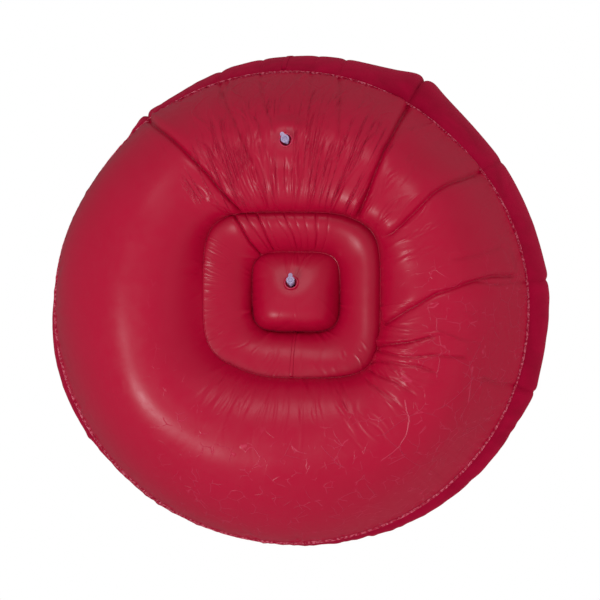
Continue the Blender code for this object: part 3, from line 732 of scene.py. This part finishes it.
def bottom_sheet():
    grid = bottom_base(azimuth)
    r = Relief(azimuth, grid)
    # long folds from the perimeter to the well
    r.fold(BACK_RIGHT_FOLD, 0.0075, 0.0038, 0.75, 0.35, (0.05, 0.1), 5.0)
    r.fold(BACK_LEFT_FOLD, 0.0062, 0.0034, 0.75, -0.30, (0.05, 0.1), 5.0)
    r.fold(RIGHT_ARM_FOLD, 0.0055, 0.0042, 0.7, 0.5, (0.08, 0.1), 5.0)
    r.fold(RIGHT_SIDE_FOLD, 0.0055, 0.0042, 0.7, 0.6, (0.06, 0.08), 5.0)
    r.fold(((-83.2, 1.0), (-82.5, 0.844), (-82.8, 0.681), (-81.8, 0.569)), 0.0025, 0.003, 0.6)
    r.fold(((-73.2, 0.787), (-74.2, 0.562), (-74.0, 0.450)), 0.0020, 0.0035, 0.6)
    # the fan from the well's front right corner
    r.fold(((-121, 0.025), (-108.5, 0.212), (-101.5, 0.331)), 0.0042, 0.0029, 0.6, 0.3)
    r.ridge(((-116, 0.05), (-113.5, 0.100), (-99.0, 0.362), (-100.5, 0.463)), 0.0036, 0.0034)
    r.fold(((-122, 0.03), (-114, 0.225), (-107.5, 0.362), (-105, 0.512)), 0.0032, 0.0026, 0.6,
           0.3)
    r.fold(((-129.8, 0.019), (-119, 0.188), (-114, 0.306), (-113, 0.381)), 0.0030, 0.0025, 0.6,
           0.2)
    r.fold(((-132.2, 0.069), (-124.5, 0.244), (-123.8, 0.325)), 0.0024, 0.0025, 0.6)
    r.fold(((-135, 0.125), (-131.8, 0.219), (-130.5, 0.300)), 0.0022, 0.0025, 0.6)
    r.fold(((-108.8, 0.688), (-108.5, 1.0)), 0.0028, 0.0036, 0.5)
    # shallow folds of the back
    r.fold(((-12, 1.0), (-14.3, 0.744), (-15.8, 0.569), (-17.8, 0.463)), 0.0024, 0.0036, 0.5)
    r.fold(((17.2, 1.0), (16.0, 0.681), (15.2, 0.575), (14.5, 0.481), (14.0, 0.394),
            (13.5, 0.350)), 0.0026, 0.0036, 0.5)
    r.fold(((7.0, 1.0), (6.2, 0.719), (5.2, 0.588), (3.7, 0.475), (2.2, 0.381)), 0.0018, 0.0030,
           0.5)
    r.fold(((-5.5, 1.0), (-6.5, 0.706), (-6.8, 0.625)), 0.0015, 0.0030, 0.5)
    # loose radial wrinkles
    r.streaks(21, 76, (-27, 28), (0.14, 0.50), 0.0021, 0.0020, 0.17, -6)
    r.streaks(22, 70, (-27, 30), (0.42, 0.90), 0.0016, 0.0018, 0.19, -3)
    r.streaks(23, 18, (-52, -33), (0.10, 0.36), 0.0016, 0.0026, 0.12, 12)
    r.streaks(24, 14, (26, 40), (0.05, 0.30), 0.0015, 0.0024, 0.11, -10)
    r.streaks(25, 14, (-70, -56), (0.12, 0.42), 0.0013, 0.0026, 0.12, 10)
    r.streaks(26, 26, (-120, -92), (0.06, 0.42), 0.0014, 0.0020, 0.16, 34)
    r.streaks(27, 30, (-152, -118), (0.05, 0.36), 0.0012, 0.0020, 0.15, 16)
    r.streaks(28, 46, (-225, -150), (0.03, 0.24), 0.0008, 0.0018, 0.15, 0)
    r.streaks(29, 10, (-100, -62), (0.45, 0.8), 0.0010, 0.0026, 0.12, 0)
    # puckers square to the two welds
    r.puckers(31, 330, 1, 0.030, 0.0009, 0.0034, 0.25)
    r.puckers(32, 120, 1, 0.070, 0.0014, 0.0046, 0.12, back_share)
    r.puckers(33, 150, 0, 0.030, 0.0009, 0.0028, 0.2)
    # storage creases over the smooth part
    r.crinkles(41, 70, (-205, -95), (0.30, 0.86), 0.0008, 0.0028, 0.022)
    r.crinkles(42, 34, (110, 165), (0.45, 0.85), 0.0006, 0.0028, 0.016)
    # slow unevenness of a chamber that isn't blown up hard
    slow = noise_ring(44, 3, 22, 1.0)
    r.height += 0.0012 * slow(azimuth)[:, None] * np.sin(math.pi * r.v)
    grid = displaced(grid, grid_normals(grid), r.height)
    grid = flatten_round_valve(grid)
    # the ring stands on the ground: nothing goes below it
    grid[..., 2] = (grid[..., 2] + np.sqrt(grid[..., 2] ** 2 + 0.002 ** 2)) / 2
    return grid


def side_sheet():
    grid = side_base(azimuth)
    r = Relief(azimuth, grid)
    r.fold(((-30.0, 0.0), (-29.2, 0.35), (-28.6, 1.0)), 0.0070, 0.0050, 0.7, 0.2, (0.05, 0.1))
    r.fold(((36.9, 0.0), (38.0, 0.3), (38.6, 0.9)), 0.0060, 0.0050, 0.7, 0.0, (0.05, 0.1))
    # the underside's folds run on into the wall: two azimuths, how far up, depth and width
    for start, end, reach, depth, width in (
        (-54.0, -54.6, 0.4, 0.0030, 0.0044), (-83.3, -84.0, 0.5, 0.0032, 0.0044),
        (-108.5, -110.0, 0.6, 0.0040, 0.0044), (-12.0, -11.0, 0.4, 0.0022, 0.0040),
        (17.2, 17.8, 0.4, 0.0022, 0.0040), (7.0, 7.9, 0.35, 0.0018, 0.0040),
        (-5.5, -4.8, 0.3, 0.0018, 0.0040),
    ):
        r.fold(((start, 0.0), (end, reach)), depth, width, 0.5, 0.0, (0.05, 0.2))
    r.puckers(51, 330, 0, 0.030, 0.0008, 0.0040, 0.2)
    r.puckers(52, 60, 0, 0.080, 0.0009, 0.0060, 0.1)
    r.puckers(53, 300, 1, 0.032, 0.0015, 0.0042, 0.2)
    r.puckers(54, 90, 1, 0.070, 0.0016, 0.0065, 0.1)
    slow = noise_ring(55, 3, 16, 1.0)
    r.height += 0.0009 * slow(azimuth)[:, None] * np.sin(math.pi * r.v)
    return displaced(grid, grid_normals(grid), r.height)


def top_sheet():
    grid = top_base(azimuth)
    r = Relief(azimuth, grid)
    r.puckers(61, 300, 0, 0.034, 0.0015, 0.0044, 0.2)
    r.puckers(62, 80, 0, 0.100, 0.0024, 0.0070, 0.1)
    r.puckers(63, 110, 1, 0.050, 0.0020, 0.0042, 0.2)
    r.puckers(64, 46, 1, 0.150, 0.0040, 0.0075, 0.15)
    r.streaks(65, 40, (-180, 180), (0.35, 0.70), 0.0030, 0.0055, 0.16, 0)
    for centre in (-34, 31, -97, 88, -141, 146, 178, 2, -62, 60):
        draw = np.random.default_rng(660 + centre)
        slide = draw.normal() * 4
        r.fold(((centre, 0.30), (centre + slide * 0.5, 0.65), (centre + slide, 1.0)), 0.0075,
               0.0070, 0.7, draw.uniform(-0.4, 0.4), (0.12, 0.1), 4.5)
    slow = noise_ring(67, 3, 14, 1.0)
    r.height += 0.0030 * slow(azimuth)[:, None] * np.sin(math.pi * r.v)
    return displaced(grid, grid_normals(grid), r.height)


def wall_sheet():
    grid = wall_base(azimuth)
    r = Relief(azimuth, grid)
    r.fold(((35.5, 0.0), (36.5, 0.233), (40.5, 0.600), (43.0, 1.0)), 0.0040, 0.0020, 0.6, 0.2)
    r.fold(((22.8, 0.05), (23.0, 0.267), (25.2, 0.583), (27.0, 0.9)), 0.0026, 0.0018, 0.6, 0.2)
    for index, start in enumerate((29.5, 17.5, 11.5, 5.0, -2.0, -9.0, -17.0, -25.0)):
        slide = -6.0 if start < 12 else 1.0
        size = 0.0015 * (0.62 + 0.38 * math.cos(index * 2.1))
        r.fold(((start, 0.05), (start + slide, 0.5), (start + slide * 1.3, 0.8)), size, 0.0015,
               0.6, 0.3, (0.08, 0.15))
    r.streaks(71, 44, (52, 122), (0.04, 0.30), 0.0006, 0.0013, 0.34, 0)
    r.streaks(72, 14, (120, 178), (0.05, 0.5), 0.0006, 0.0018, 0.30, 10)
    r.streaks(73, 10, (-178, -120), (0.05, 0.4), 0.0008, 0.0022, 0.2, 10)
    r.puckers(74, 90, 1, 0.018, 0.0010, 0.0020, 0.2)
    r.puckers(75, 70, 0, 0.012, 0.0003, 0.0022, 0.2)
    return displaced(grid, -grid_normals(grid), r.height)


def pillow_height(x, y):
    """How far the seat's underside stands out from its weld; fullest in front of the middle."""
    half_width, half_depth, centre, _, squareness = WELL_FLOOR
    across = (x - centre[0]) / half_width
    along = (y - centre[1]) / half_depth
    inside = np.clip(1 - np.abs(across) ** squareness - np.abs(along) ** squareness, 0, 1)
    lean = (1 - 0.40 * along) * (1 - 0.22 * (along + 0.3) ** 2)
    return PILLOW_DEPTH * inside ** 0.92 * lean * (1 - 0.15 * across ** 2)


def pillow_sheet():
    """The seat's underside: a pillow from its weld in to the valve's hole, flat round the valve."""
    edge = well_floor(azimuth)
    anchor = np.array(VALVE_FRAMES["seat"].translation)
    lean = math.tan(SEAT_VALVE_LEAN)
    spoke = edge[:, :2] - anchor[:2]
    length = np.linalg.norm(spoke, axis=1)
    spoke = spoke / length[:, None]
    hole = HOLE_RADIUS / np.sqrt(1 + (lean * spoke[:, 1]) ** 2)
    even = np.linspace(1.0, 0.0, PILLOW_ROWS)[None, :]
    share = 0.985 * even ** 0.8 + 0.015 * even
    radius = hole[:, None] + (length - hole)[:, None] * share
    grid = np.empty((*radius.shape, 3))
    grid[..., :2] = anchor[:2] + spoke[:, None, :] * radius[..., None]
    dome = edge[:, None, 2] - pillow_height(grid[..., 0], grid[..., 1])
    plane = anchor[2] + (grid[..., 1] - anchor[1]) * lean
    near = 1 - smooth_step(radius, 0.013, 0.050)
    grid[..., 2] = dome + (plane - dome) * near
    r = Relief(azimuth, grid)
    r.puckers(81, 70, 0, 0.016, 0.0006, 0.0022, 0.3)
    r.puckers(82, 22, 0, 0.040, 0.0009, 0.0030, 0.25)
    return displaced(grid, -grid_normals(grid), r.height)


def crown_sheet():
    edge = seat_edge(azimuth)
    centre = np.array([*SEAT[2], SEAT[3]])
    share = np.linspace(1.0, 0.04, CROWN_ROWS)[None, :, None]
    grid = centre + (edge[:, None, :] - centre) * share
    grid[..., 2] += SEAT_CROWN * (1 - share[..., 0] ** 3)
    r = Relief(azimuth, grid)
    r.puckers(91, 90, 0, 0.040, 0.0016, 0.0036, 0.25)
    r.puckers(92, 40, 0, 0.100, 0.0028, 0.0060, 0.2)
    return displaced(grid, grid_normals(grid), r.height), centre + UP * SEAT_CROWN


def cut_hole(obj, which):
    """A round hole through a sheet for a valve's cup."""
    cutter = lathe("hole_cutter", ((0.0, -0.012), (HOLE_RADIUS, -0.012), (HOLE_RADIUS, 0.012),
                                   (0.0, 0.012)), VALVE, 48)
    cutter.matrix_world = VALVE_FRAMES[which]
    cut = obj.modifiers.new("hole", "BOOLEAN")
    cut.operation = "DIFFERENCE"
    cut.solver = "EXACT"
    cut.object = cutter
    apply_modifiers(obj)
    bpy.data.objects.remove(cutter, do_unlink=True)


def apply_modifiers(obj):
    """Keeps the evaluated mesh and drops the modifiers."""
    bpy.context.view_layer.update()
    graph = bpy.context.evaluated_depsgraph_get()
    made = bpy.data.meshes.new_from_object(obj.evaluated_get(graph))
    obj.modifiers.clear()
    obj.data = made
    made.shade_smooth()


def lathe(name, outline, material, sides=64, closed=False):
    """A solid turned round local Z from (radius, height) points."""
    points = []
    rings = []
    for radius, height in outline:
        if radius == 0:
            rings.append([len(points)] * sides)
            points.append((0.0, 0.0, height))
            continue
        rings.append([len(points) + side for side in range(sides)])
        for side in range(sides):
            angle = FULL_TURN * side / sides
            points.append((radius * math.cos(angle), radius * math.sin(angle), height))
    faces = []
    for index in range(len(rings) if closed else len(rings) - 1):
        lower = rings[index]
        upper = rings[(index + 1) % len(rings)]
        for side in range(sides):
            after = (side + 1) % sides
            corners = (lower[side], lower[after], upper[after], upper[side])
            face = tuple(dict.fromkeys(corners))
            if len(face) > 2:
                faces.append(face)
    obj = mesh_object(name, points, faces, material)
    face_outwards(obj)
    return obj


def face_outwards(obj):
    mesh = bmesh.new()
    mesh.from_mesh(obj.data)
    bmesh.ops.recalc_face_normals(mesh, faces=mesh.faces)
    mesh.to_mesh(obj.data)
    mesh.free()


def keep(obj, body, slot, *nodes):
    """obj stands for these CAD nodes and moves with the body."""
    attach(obj, body)
    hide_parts(*nodes)


side_grid = side_sheet()
wall_grid = wall_sheet()
for name, built, thickness, material, flip, slot, node in (
    ("underside_sheet", (bottom_sheet(), None), VINYL_THICKNESS, VINYL, False, "vinyl",
     "bottom_panel"),
    ("side_wall_sheet", (side_grid, None), FLOCKED_THICKNESS, FLOCKED, False, "flocked",
     "side_wall"),
    ("top_sheet", (top_sheet(), None), FLOCKED_THICKNESS, FLOCKED, False, "flocked", "top_panel"),
    ("well_wall_sheet", (wall_grid, None), VINYL_THICKNESS, VINYL, True, "vinyl", "well_wall"),
    ("seat_underside_sheet", (pillow_sheet(), None), VINYL_THICKNESS, VINYL, True, "vinyl",
     "seat_bottom_panel"),
    ("seat_top_sheet", crown_sheet(), FLOCKED_THICKNESS, FLOCKED, False, "flocked",
     "seat_top_panel"),
):
    sheet = sheet_object(name, built[0], thickness, material, flip, built[1])
    if node == "bottom_panel":
        cut_hole(sheet, "main")
    keep(sheet, ROOT, slot, node)


# ---------------------------------------------------------------- welds

WELD_CORE = 0.0012
WELD_LIP_LENGTH = 0.0042
WELD_LIP_HALF = 0.00045
WELD_BAR_PITCH = 0.0030
WELD_BAR_HEIGHT = 0.00022
WELD_DROOP = 0.0003
# Round the weld's section: on the bead in bead radii, or on the lip in shares of its length
WELD_SECTION = (
    ("bead", -1, 0), ("bead", -0.5, 1), ("bead", 0.4, 1), ("lip", 0.3, 1), ("lip", 0.7, 1),
    ("lip", 0.97, 1), ("lip", 1.0, 0), ("lip", 0.97, -1), ("lip", 0.7, -1), ("lip", 0.3, -1),
    ("bead", 0.4, -1), ("bead", -0.5, -1),
)
JOINT_THICKNESS = 0.0007
lip_wave = noise_ring(15, 60, 420, 0.5)


def weld_object(name, seam, elevation, material, stations):
    """A bead along a seam and a thin lip, pressed with the short bars of the welding tool."""
    angle = np.arange(stations) / stations * FULL_TURN - math.pi
    base = seam(angle)
    run = np.cumsum(np.linalg.norm(np.roll(base, -1, axis=0) - base, axis=1))
    bars = round(run[-1] / WELD_BAR_PITCH)
    press = smooth_step(0.5 + 0.5 * np.cos(FULL_TURN * run / run[-1] * bars), 0.25, 0.75)
    out = away(angle)
    lip_way = out * math.cos(elevation) + UP * math.sin(elevation)
    side_way = UP * math.cos(elevation) - out * math.sin(elevation)
    section = []
    for part, along, side in WELD_SECTION:
        on_lip = part == "lip"
        reach = along * (WELD_LIP_LENGTH if on_lip else WELD_CORE)
        across = np.full(stations, side * (WELD_LIP_HALF if on_lip else WELD_CORE))
        if on_lip:
            across += lip_wave(angle) * WELD_DROOP * along ** 2
            if along < 0.8:
                across += WELD_BAR_HEIGHT * press * side
        section.append(base + lip_way * reach + side_way * across[:, None])
    grid = np.stack(section, 1)
    faces = ring_faces(stations, len(WELD_SECTION), tube=True).tolist()
    obj = mesh_object(name, grid.reshape(-1, 3).tolist(), faces, material)
    face_outwards(obj)
    return obj


for name, seam, degrees, material, slot, stations, node in (
    ("perimeter_weld_strip", perimeter, -38, WELD, "vinyl", 4400, "perimeter_weld"),
    ("rim_weld_strip", rim, 20, FLOCKED, "flocked", 4000, "rim_weld"),
    ("well_mouth_weld_strip", well_mouth, 58, VINYL, "vinyl", 1600, "well_mouth_weld"),
    ("well_floor_weld_strip", well_floor, -35, VINYL, "vinyl", 960, "well_floor_weld"),
    ("seat_weld_strip", seat_edge, -60, FLOCKED, "flocked", 1600, "seat_weld"),
):
    strip = weld_object(name, seam, math.radians(degrees), material, stations)
    keep(strip, ROOT, slot, node)


def between_columns(values, row, at):
    """One row of a grid, read at other azimuths than its columns have."""
    return np.stack([np.interp(at, azimuth, values[:, row, axis], period=FULL_TURN)
                     for axis in range(3)], -1)


def lap_joint(name, grid, centre, width, material, flip):
    """The lap joint of a strip wall: a second layer of the sheet, on its outer face."""
    normals = grid_normals(grid) * (-1 if flip else 1)
    offsets = np.linspace(-0.5, 0.5, 9) * width
    rise = np.where(np.abs(offsets) < width * 0.45, 0.0009, 0.0002)[:, None]
    layers = []
    for row in range(1, grid.shape[1] - 1):
        radius = np.hypot(*grid[len(azimuth) // 2, row, :2])
        at = signed(radians(centre) + offsets / radius)
        layers.append(between_columns(grid, row, at) + between_columns(normals, row, at) * rise)
    count = len(offsets)
    faces = [(here, here + 1, here + count + 1, here + count)
             for row in range(len(layers) - 1)
             for here in range(row * count, (row + 1) * count - 1)]
    obj = mesh_object(name, np.concatenate(layers).tolist(), faces, material)
    solid = obj.modifiers.new("thickness", "SOLIDIFY")
    solid.thickness = JOINT_THICKNESS
    solid.offset = 0
    return obj


keep(lap_joint("side_wall_joint_strip", side_grid, 1.6, 0.010, FLOCKED, False), ROOT, "flocked",
     "side_wall_joint")
keep(lap_joint("well_wall_joint_strip", wall_grid, 180.0, 0.008, VINYL, True), ROOT, "vinyl",
     "well_wall_joint")


# ---------------------------------------------------------------- valves

def join_block(obj, block):
    join = obj.modifiers.new("join", "BOOLEAN")
    join.operation = "UNION"
    join.solver = "EXACT"
    join.object = block
    apply_modifiers(obj)
    bpy.data.objects.remove(block, do_unlink=True)


def soften(obj, width, segments=3, angle=30):
    bevel = obj.modifiers.new("edges", "BEVEL")
    bevel.width = width
    bevel.segments = segments
    bevel.limit_method = "ANGLE"
    bevel.angle_limit = math.radians(angle)
    apply_modifiers(obj)


def tab_block(name, length, width, z_low, z_high):
    """The plug's pull tab: a flat tongue with a round end, along local X."""
    outline = [(0.004, -width * 0.36), (length - width / 2, -width / 2)]
    for step in range(13):
        angle = -math.pi / 2 + math.pi * step / 12
        outline.append((length - width / 2 + width / 2 * math.cos(angle),
                        width / 2 * math.sin(angle)))
    outline += [(length - width / 2, width / 2), (0.004, width * 0.36)]
    outline = list(dict.fromkeys((round(x, 7), round(y, 7)) for x, y in outline))
    count = len(outline)
    points = [(x, y, z_low) for x, y in outline] + [(x, y, z_high) for x, y in outline]
    faces = [tuple(reversed(range(count))), tuple(range(count, 2 * count))]
    for index in range(count):
        after = (index + 1) % count
        faces.append((index, after, count + after, count + index))
    obj = mesh_object(name, points, faces, VALVE)
    face_outwards(obj)
    return obj


def box_block(name, low, high):
    points = [(x, y, z) for z in (low[2], high[2]) for y in (low[1], high[1])
              for x in (low[0], high[0])]
    faces = ((0, 2, 3, 1), (4, 5, 7, 6), (0, 1, 5, 4), (2, 6, 7, 3), (0, 4, 6, 2), (1, 3, 7, 5))
    obj = mesh_object(name, points, faces, VALVE)
    face_outwards(obj)
    return obj


def ribbon(name, path, width, thickness):
    """A flat strap along a path in the local XZ plane, its width along local Y."""
    path = [Vector((x, 0.0, z)) for x, z in path]
    points = []
    for index, here in enumerate(path):
        before = path[max(index - 1, 0)]
        after = path[min(index + 1, len(path) - 1)]
        along = (after - before).normalized()
        normal = Vector((-along.z, 0.0, along.x)) * thickness / 2
        half = Vector((0.0, width / 2, 0.0))
        points += [here - normal - half, here + normal - half, here + normal + half,
                   here - normal + half]
    faces = [(0, 1, 2, 3)]
    for index in range(len(path) - 1):
        for corner in range(4):
            after = (corner + 1) % 4
            here = index * 4
            faces.append((here + corner, here + 4 + corner, here + 4 + after, here + after))
    last = len(points) - 4
    faces.append((last + 3, last + 2, last + 1, last))
    obj = mesh_object(name, [tuple(point) for point in points], faces, VALVE)
    face_outwards(obj)
    return obj


# Sections of the valve's turned parts: (radius, distance outwards from the sheet)
FLANGE_OUTLINE = (
    (0.00665, -0.0115), (0.0110, -0.0115), (0.0112, -0.0110), (0.0112, -0.0006),
    (0.0117, 0.0002), (0.0126, 0.0007), (0.0138, 0.0004), (0.0140, 0.0),
    (0.0126, -0.0004), (0.0121, -0.0010), (0.0121, -0.0016), (0.0225, -0.0040),
    (0.0225, -0.0048), (0.0121, -0.0024), (0.0121, -0.0124), (0.00665, -0.0124),
)
STEM_OUTLINE = (
    (0.0042, -0.0200), (0.0063, -0.0200), (0.0063, 0.0022), (0.0075, 0.0022),
    (0.0075, 0.0040), (0.0063, 0.0040), (0.0063, 0.0088), (0.00665, 0.0090),
    (0.00665, 0.0098), (0.0063, 0.0100), (0.0063, 0.0125), (0.0042, 0.0125),
)
PLUG_OUTLINE = (
    (0.0, 0.0040), (0.0034, 0.0040), (0.0038, 0.0046), (0.0038, 0.0129), (0.0083, 0.0129),
    (0.0083, 0.0160), (0.0046, 0.0160), (0.0046, 0.0148), (0.0, 0.0148),
)
TAB_LENGTH = 0.0150
TAB_WIDTH = 0.0090
TAB_LOW = 0.0136
TAB_HIGH = 0.0156
RIB_PLACES = (0.0112, 0.0128)
RIB_WIDTH = 0.0006
RIB_HALF_LENGTH = 0.0028
RIB_LOW = 0.0150
RIB_HIGH = 0.0160
# The tether's loop stays inside the cup's wall, so it follows the stem into the recess
TETHER_ROOT = 0.0074
TETHER_SIDE = 0.0082
TETHER_BULGE = 0.0019
TETHER_LOW = 0.0031
TETHER_RISE = 0.0112
TETHER_WIDTH = 0.0040
TETHER_THICKNESS = 0.0012


def tether_path():
    """(x, z) points from the stem's collar round to the plug's head."""
    path = [(-TETHER_ROOT, TETHER_LOW)]
    for angle in np.linspace(0, math.pi, 15):
        bulge = TETHER_BULGE * abs(math.sin(angle)) ** 0.8
        rise = TETHER_RISE * (1 - math.cos(angle)) / 2
        path.append((-TETHER_SIDE - bulge, TETHER_LOW + rise))
    return path + [(-TETHER_ROOT, TETHER_LOW + TETHER_RISE)]


def build_valve(prefix):
    place = VALVE_FRAMES[prefix]
    flange = lathe(prefix + "_flange_cup", FLANGE_OUTLINE, CUP, 72, True)
    flange.matrix_world = place
    keep(flange, ROOT, "valve_pvc", prefix + "_valve_flange")

    stem = lathe(prefix + "_stem_tube", STEM_OUTLINE, VALVE, 64, True)
    soften(stem, 0.00022)
    stem.matrix_world = place
    keep(stem, prefix + "_stem", "valve_pvc", prefix + "_valve_stem")

    plug = lathe(prefix + "_plug_cap", PLUG_OUTLINE, VALVE, 64)
    join_block(plug, tab_block("tab_guide", TAB_LENGTH, TAB_WIDTH, TAB_LOW, TAB_HIGH))
    for rib in RIB_PLACES:
        join_block(plug, box_block("rib_guide", (rib, -RIB_HALF_LENGTH, RIB_LOW),
                                   (rib + RIB_WIDTH, RIB_HALF_LENGTH, RIB_HIGH)))
    soften(plug, 0.00035)
    plug.matrix_world = place
    keep(plug, prefix + "_plug", "valve_pvc", prefix + "_valve_plug")

    tether = ribbon(prefix + "_tether_strap", tether_path(), TETHER_WIDTH, TETHER_THICKNESS)
    soften(tether, 0.0003, 2)
    tether.matrix_world = place
    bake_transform(tether)
    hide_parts(prefix + "_valve_tether")


for prefix in VALVE_STANDS:
    build_valve(prefix)

for node, material in (("chamber_partition", VINYL), ("main_valve_flap", VALVE),
                       ("seat_valve_flap", VALVE)):
    slots = frame["nodes"][node].data.materials
    for index in range(len(slots)):
        slots[index] = material
    if not slots:
        slots.append(material)


# ---------------------------------------------------------------- stage

CAMERA_DISTANCE = 4.0
CAMERA_TARGET = Vector((0.0, 0.0, 0.33))
# How far the view leans from straight up, towards +X and towards -Y, in degrees
CAMERA_LEAN_X = 6.0
CAMERA_LEAN_Y = 4.5
SENSOR_WIDTH = 36.0
# Half the width that the camera sees at its target
VIEW_HALF_WIDTH = 0.6498
LIGHT_TARGET = Vector((0.0, 0.0, 0.2))
FLOOR_HALF = 5.0
# Area lights: name, place, size, power and whether the gloss shows them
LIGHTS = (
    ("key_low_left", (1.62, -1.22, -2.50), (0.75, 0.75), 33.0, True),
    ("under_back", (0.25, 2.0, -2.3), (1.2, 1.2), 13.0, True),
    ("under_right", (-2.6, -0.6, -1.6), (1.4, 1.6), 16.0, False),
    ("top_soft", (0.7, -1.0, 2.9), (2.0, 2.0), 40.0, False),
    ("front_soft", (-1.3, -2.2, 2.6), (2.0, 2.0), 24.0, False),
)


def add_camera():
    look = Vector((math.sin(math.radians(CAMERA_LEAN_X)), -math.sin(math.radians(CAMERA_LEAN_Y)),
                   0.0))
    look.z = math.sqrt(1 - look.x ** 2 - look.y ** 2)
    up = Vector((0.0, 1.0, 0.0))
    up = (up - look * up.dot(look)).normalized()
    data = bpy.data.cameras.new("camera")
    data.sensor_width = SENSOR_WIDTH
    data.lens = SENSOR_WIDTH / 2 * CAMERA_DISTANCE / VIEW_HALF_WIDTH
    data.clip_end = 50.0
    obj = bpy.data.objects.new("camera", data)
    turn = Matrix((look.cross(up), up, -look)).transposed().to_4x4()
    obj.matrix_world = Matrix.Translation(CAMERA_TARGET - look * CAMERA_DISTANCE) @ turn
    bpy.context.scene.collection.objects.link(obj)
    bpy.context.scene.camera = obj


def add_light(name, place, size, power, glossy):
    data = bpy.data.lights.new(name, "AREA")
    data.shape = "RECTANGLE"
    data.size, data.size_y = size
    data.energy = power
    obj = bpy.data.objects.new(name, data)
    turn = (LIGHT_TARGET - Vector(place)).to_track_quat("-Z", "Y").to_matrix().to_4x4()
    obj.matrix_world = Matrix.Translation(place) @ turn
    obj.visible_glossy = glossy
    bpy.context.scene.collection.objects.link(obj)


def add_floor():
    """A pale floor that shows from above and is clear from below, where the camera is."""
    g = Graph("pale_floor", Base_Color=(0.80, 0.80, 0.80), Roughness=0.9)
    mix = g.node("ShaderNodeMixShader")
    g.give(mix.inputs[0], g.node("ShaderNodeNewGeometry").outputs["Backfacing"])
    g.give(mix.inputs[1], g.shader.outputs["BSDF"])
    g.give(mix.inputs[2], g.node("ShaderNodeBsdfTransparent").outputs["BSDF"])
    g.feed(g.tree.nodes["Material Output"], Surface=mix.outputs["Shader"])
    corners = [(x * FLOOR_HALF, y * FLOOR_HALF, 0.0) for x, y in ((-1, -1), (1, -1), (1, 1), (-1, 1))]
    obj = mesh_object("floor", corners, [(0, 1, 2, 3)], g.material, False)
    obj.visible_diffuse = False
    obj.visible_glossy = False
    obj.visible_transmission = False
    obj.visible_shadow = False


def add_world(background, fill, mirrored):
    """White all round, with its own strength for the camera, for soft light and for the gloss."""
    world = bpy.data.worlds.new("studio")
    bpy.context.scene.world = world
    world.use_nodes = True
    tree = world.node_tree
    tree.nodes.clear()
    ray = tree.nodes.new("ShaderNodeLightPath")

    def white(strength):
        made = tree.nodes.new("ShaderNodeBackground")
        made.inputs["Color"].default_value = (1.0, 1.0, 1.0, 1.0)
        made.inputs["Strength"].default_value = strength
        return made.outputs["Background"]

    def choose(kind, otherwise, chosen):
        made = tree.nodes.new("ShaderNodeMixShader")
        for socket, source in zip(made.inputs, (ray.outputs[kind], otherwise, chosen)):
            tree.links.new(source, socket)
        return made.outputs["Shader"]

    lit = choose("Is Diffuse Ray", white(mirrored), white(fill))
    out = tree.nodes.new("ShaderNodeOutputWorld")
    tree.links.new(choose("Is Camera Ray", lit, white(background)), out.inputs["Surface"])


add_camera()
add_floor()
add_world(1.0, 0.72, 0.12)
for light in LIGHTS:
    add_light(*light)

scene = bpy.context.scene
scene.view_settings.view_transform = "Standard"
scene.view_settings.look = "None"
scene.view_settings.exposure = 0.0
scene.view_settings.gamma = 1.0
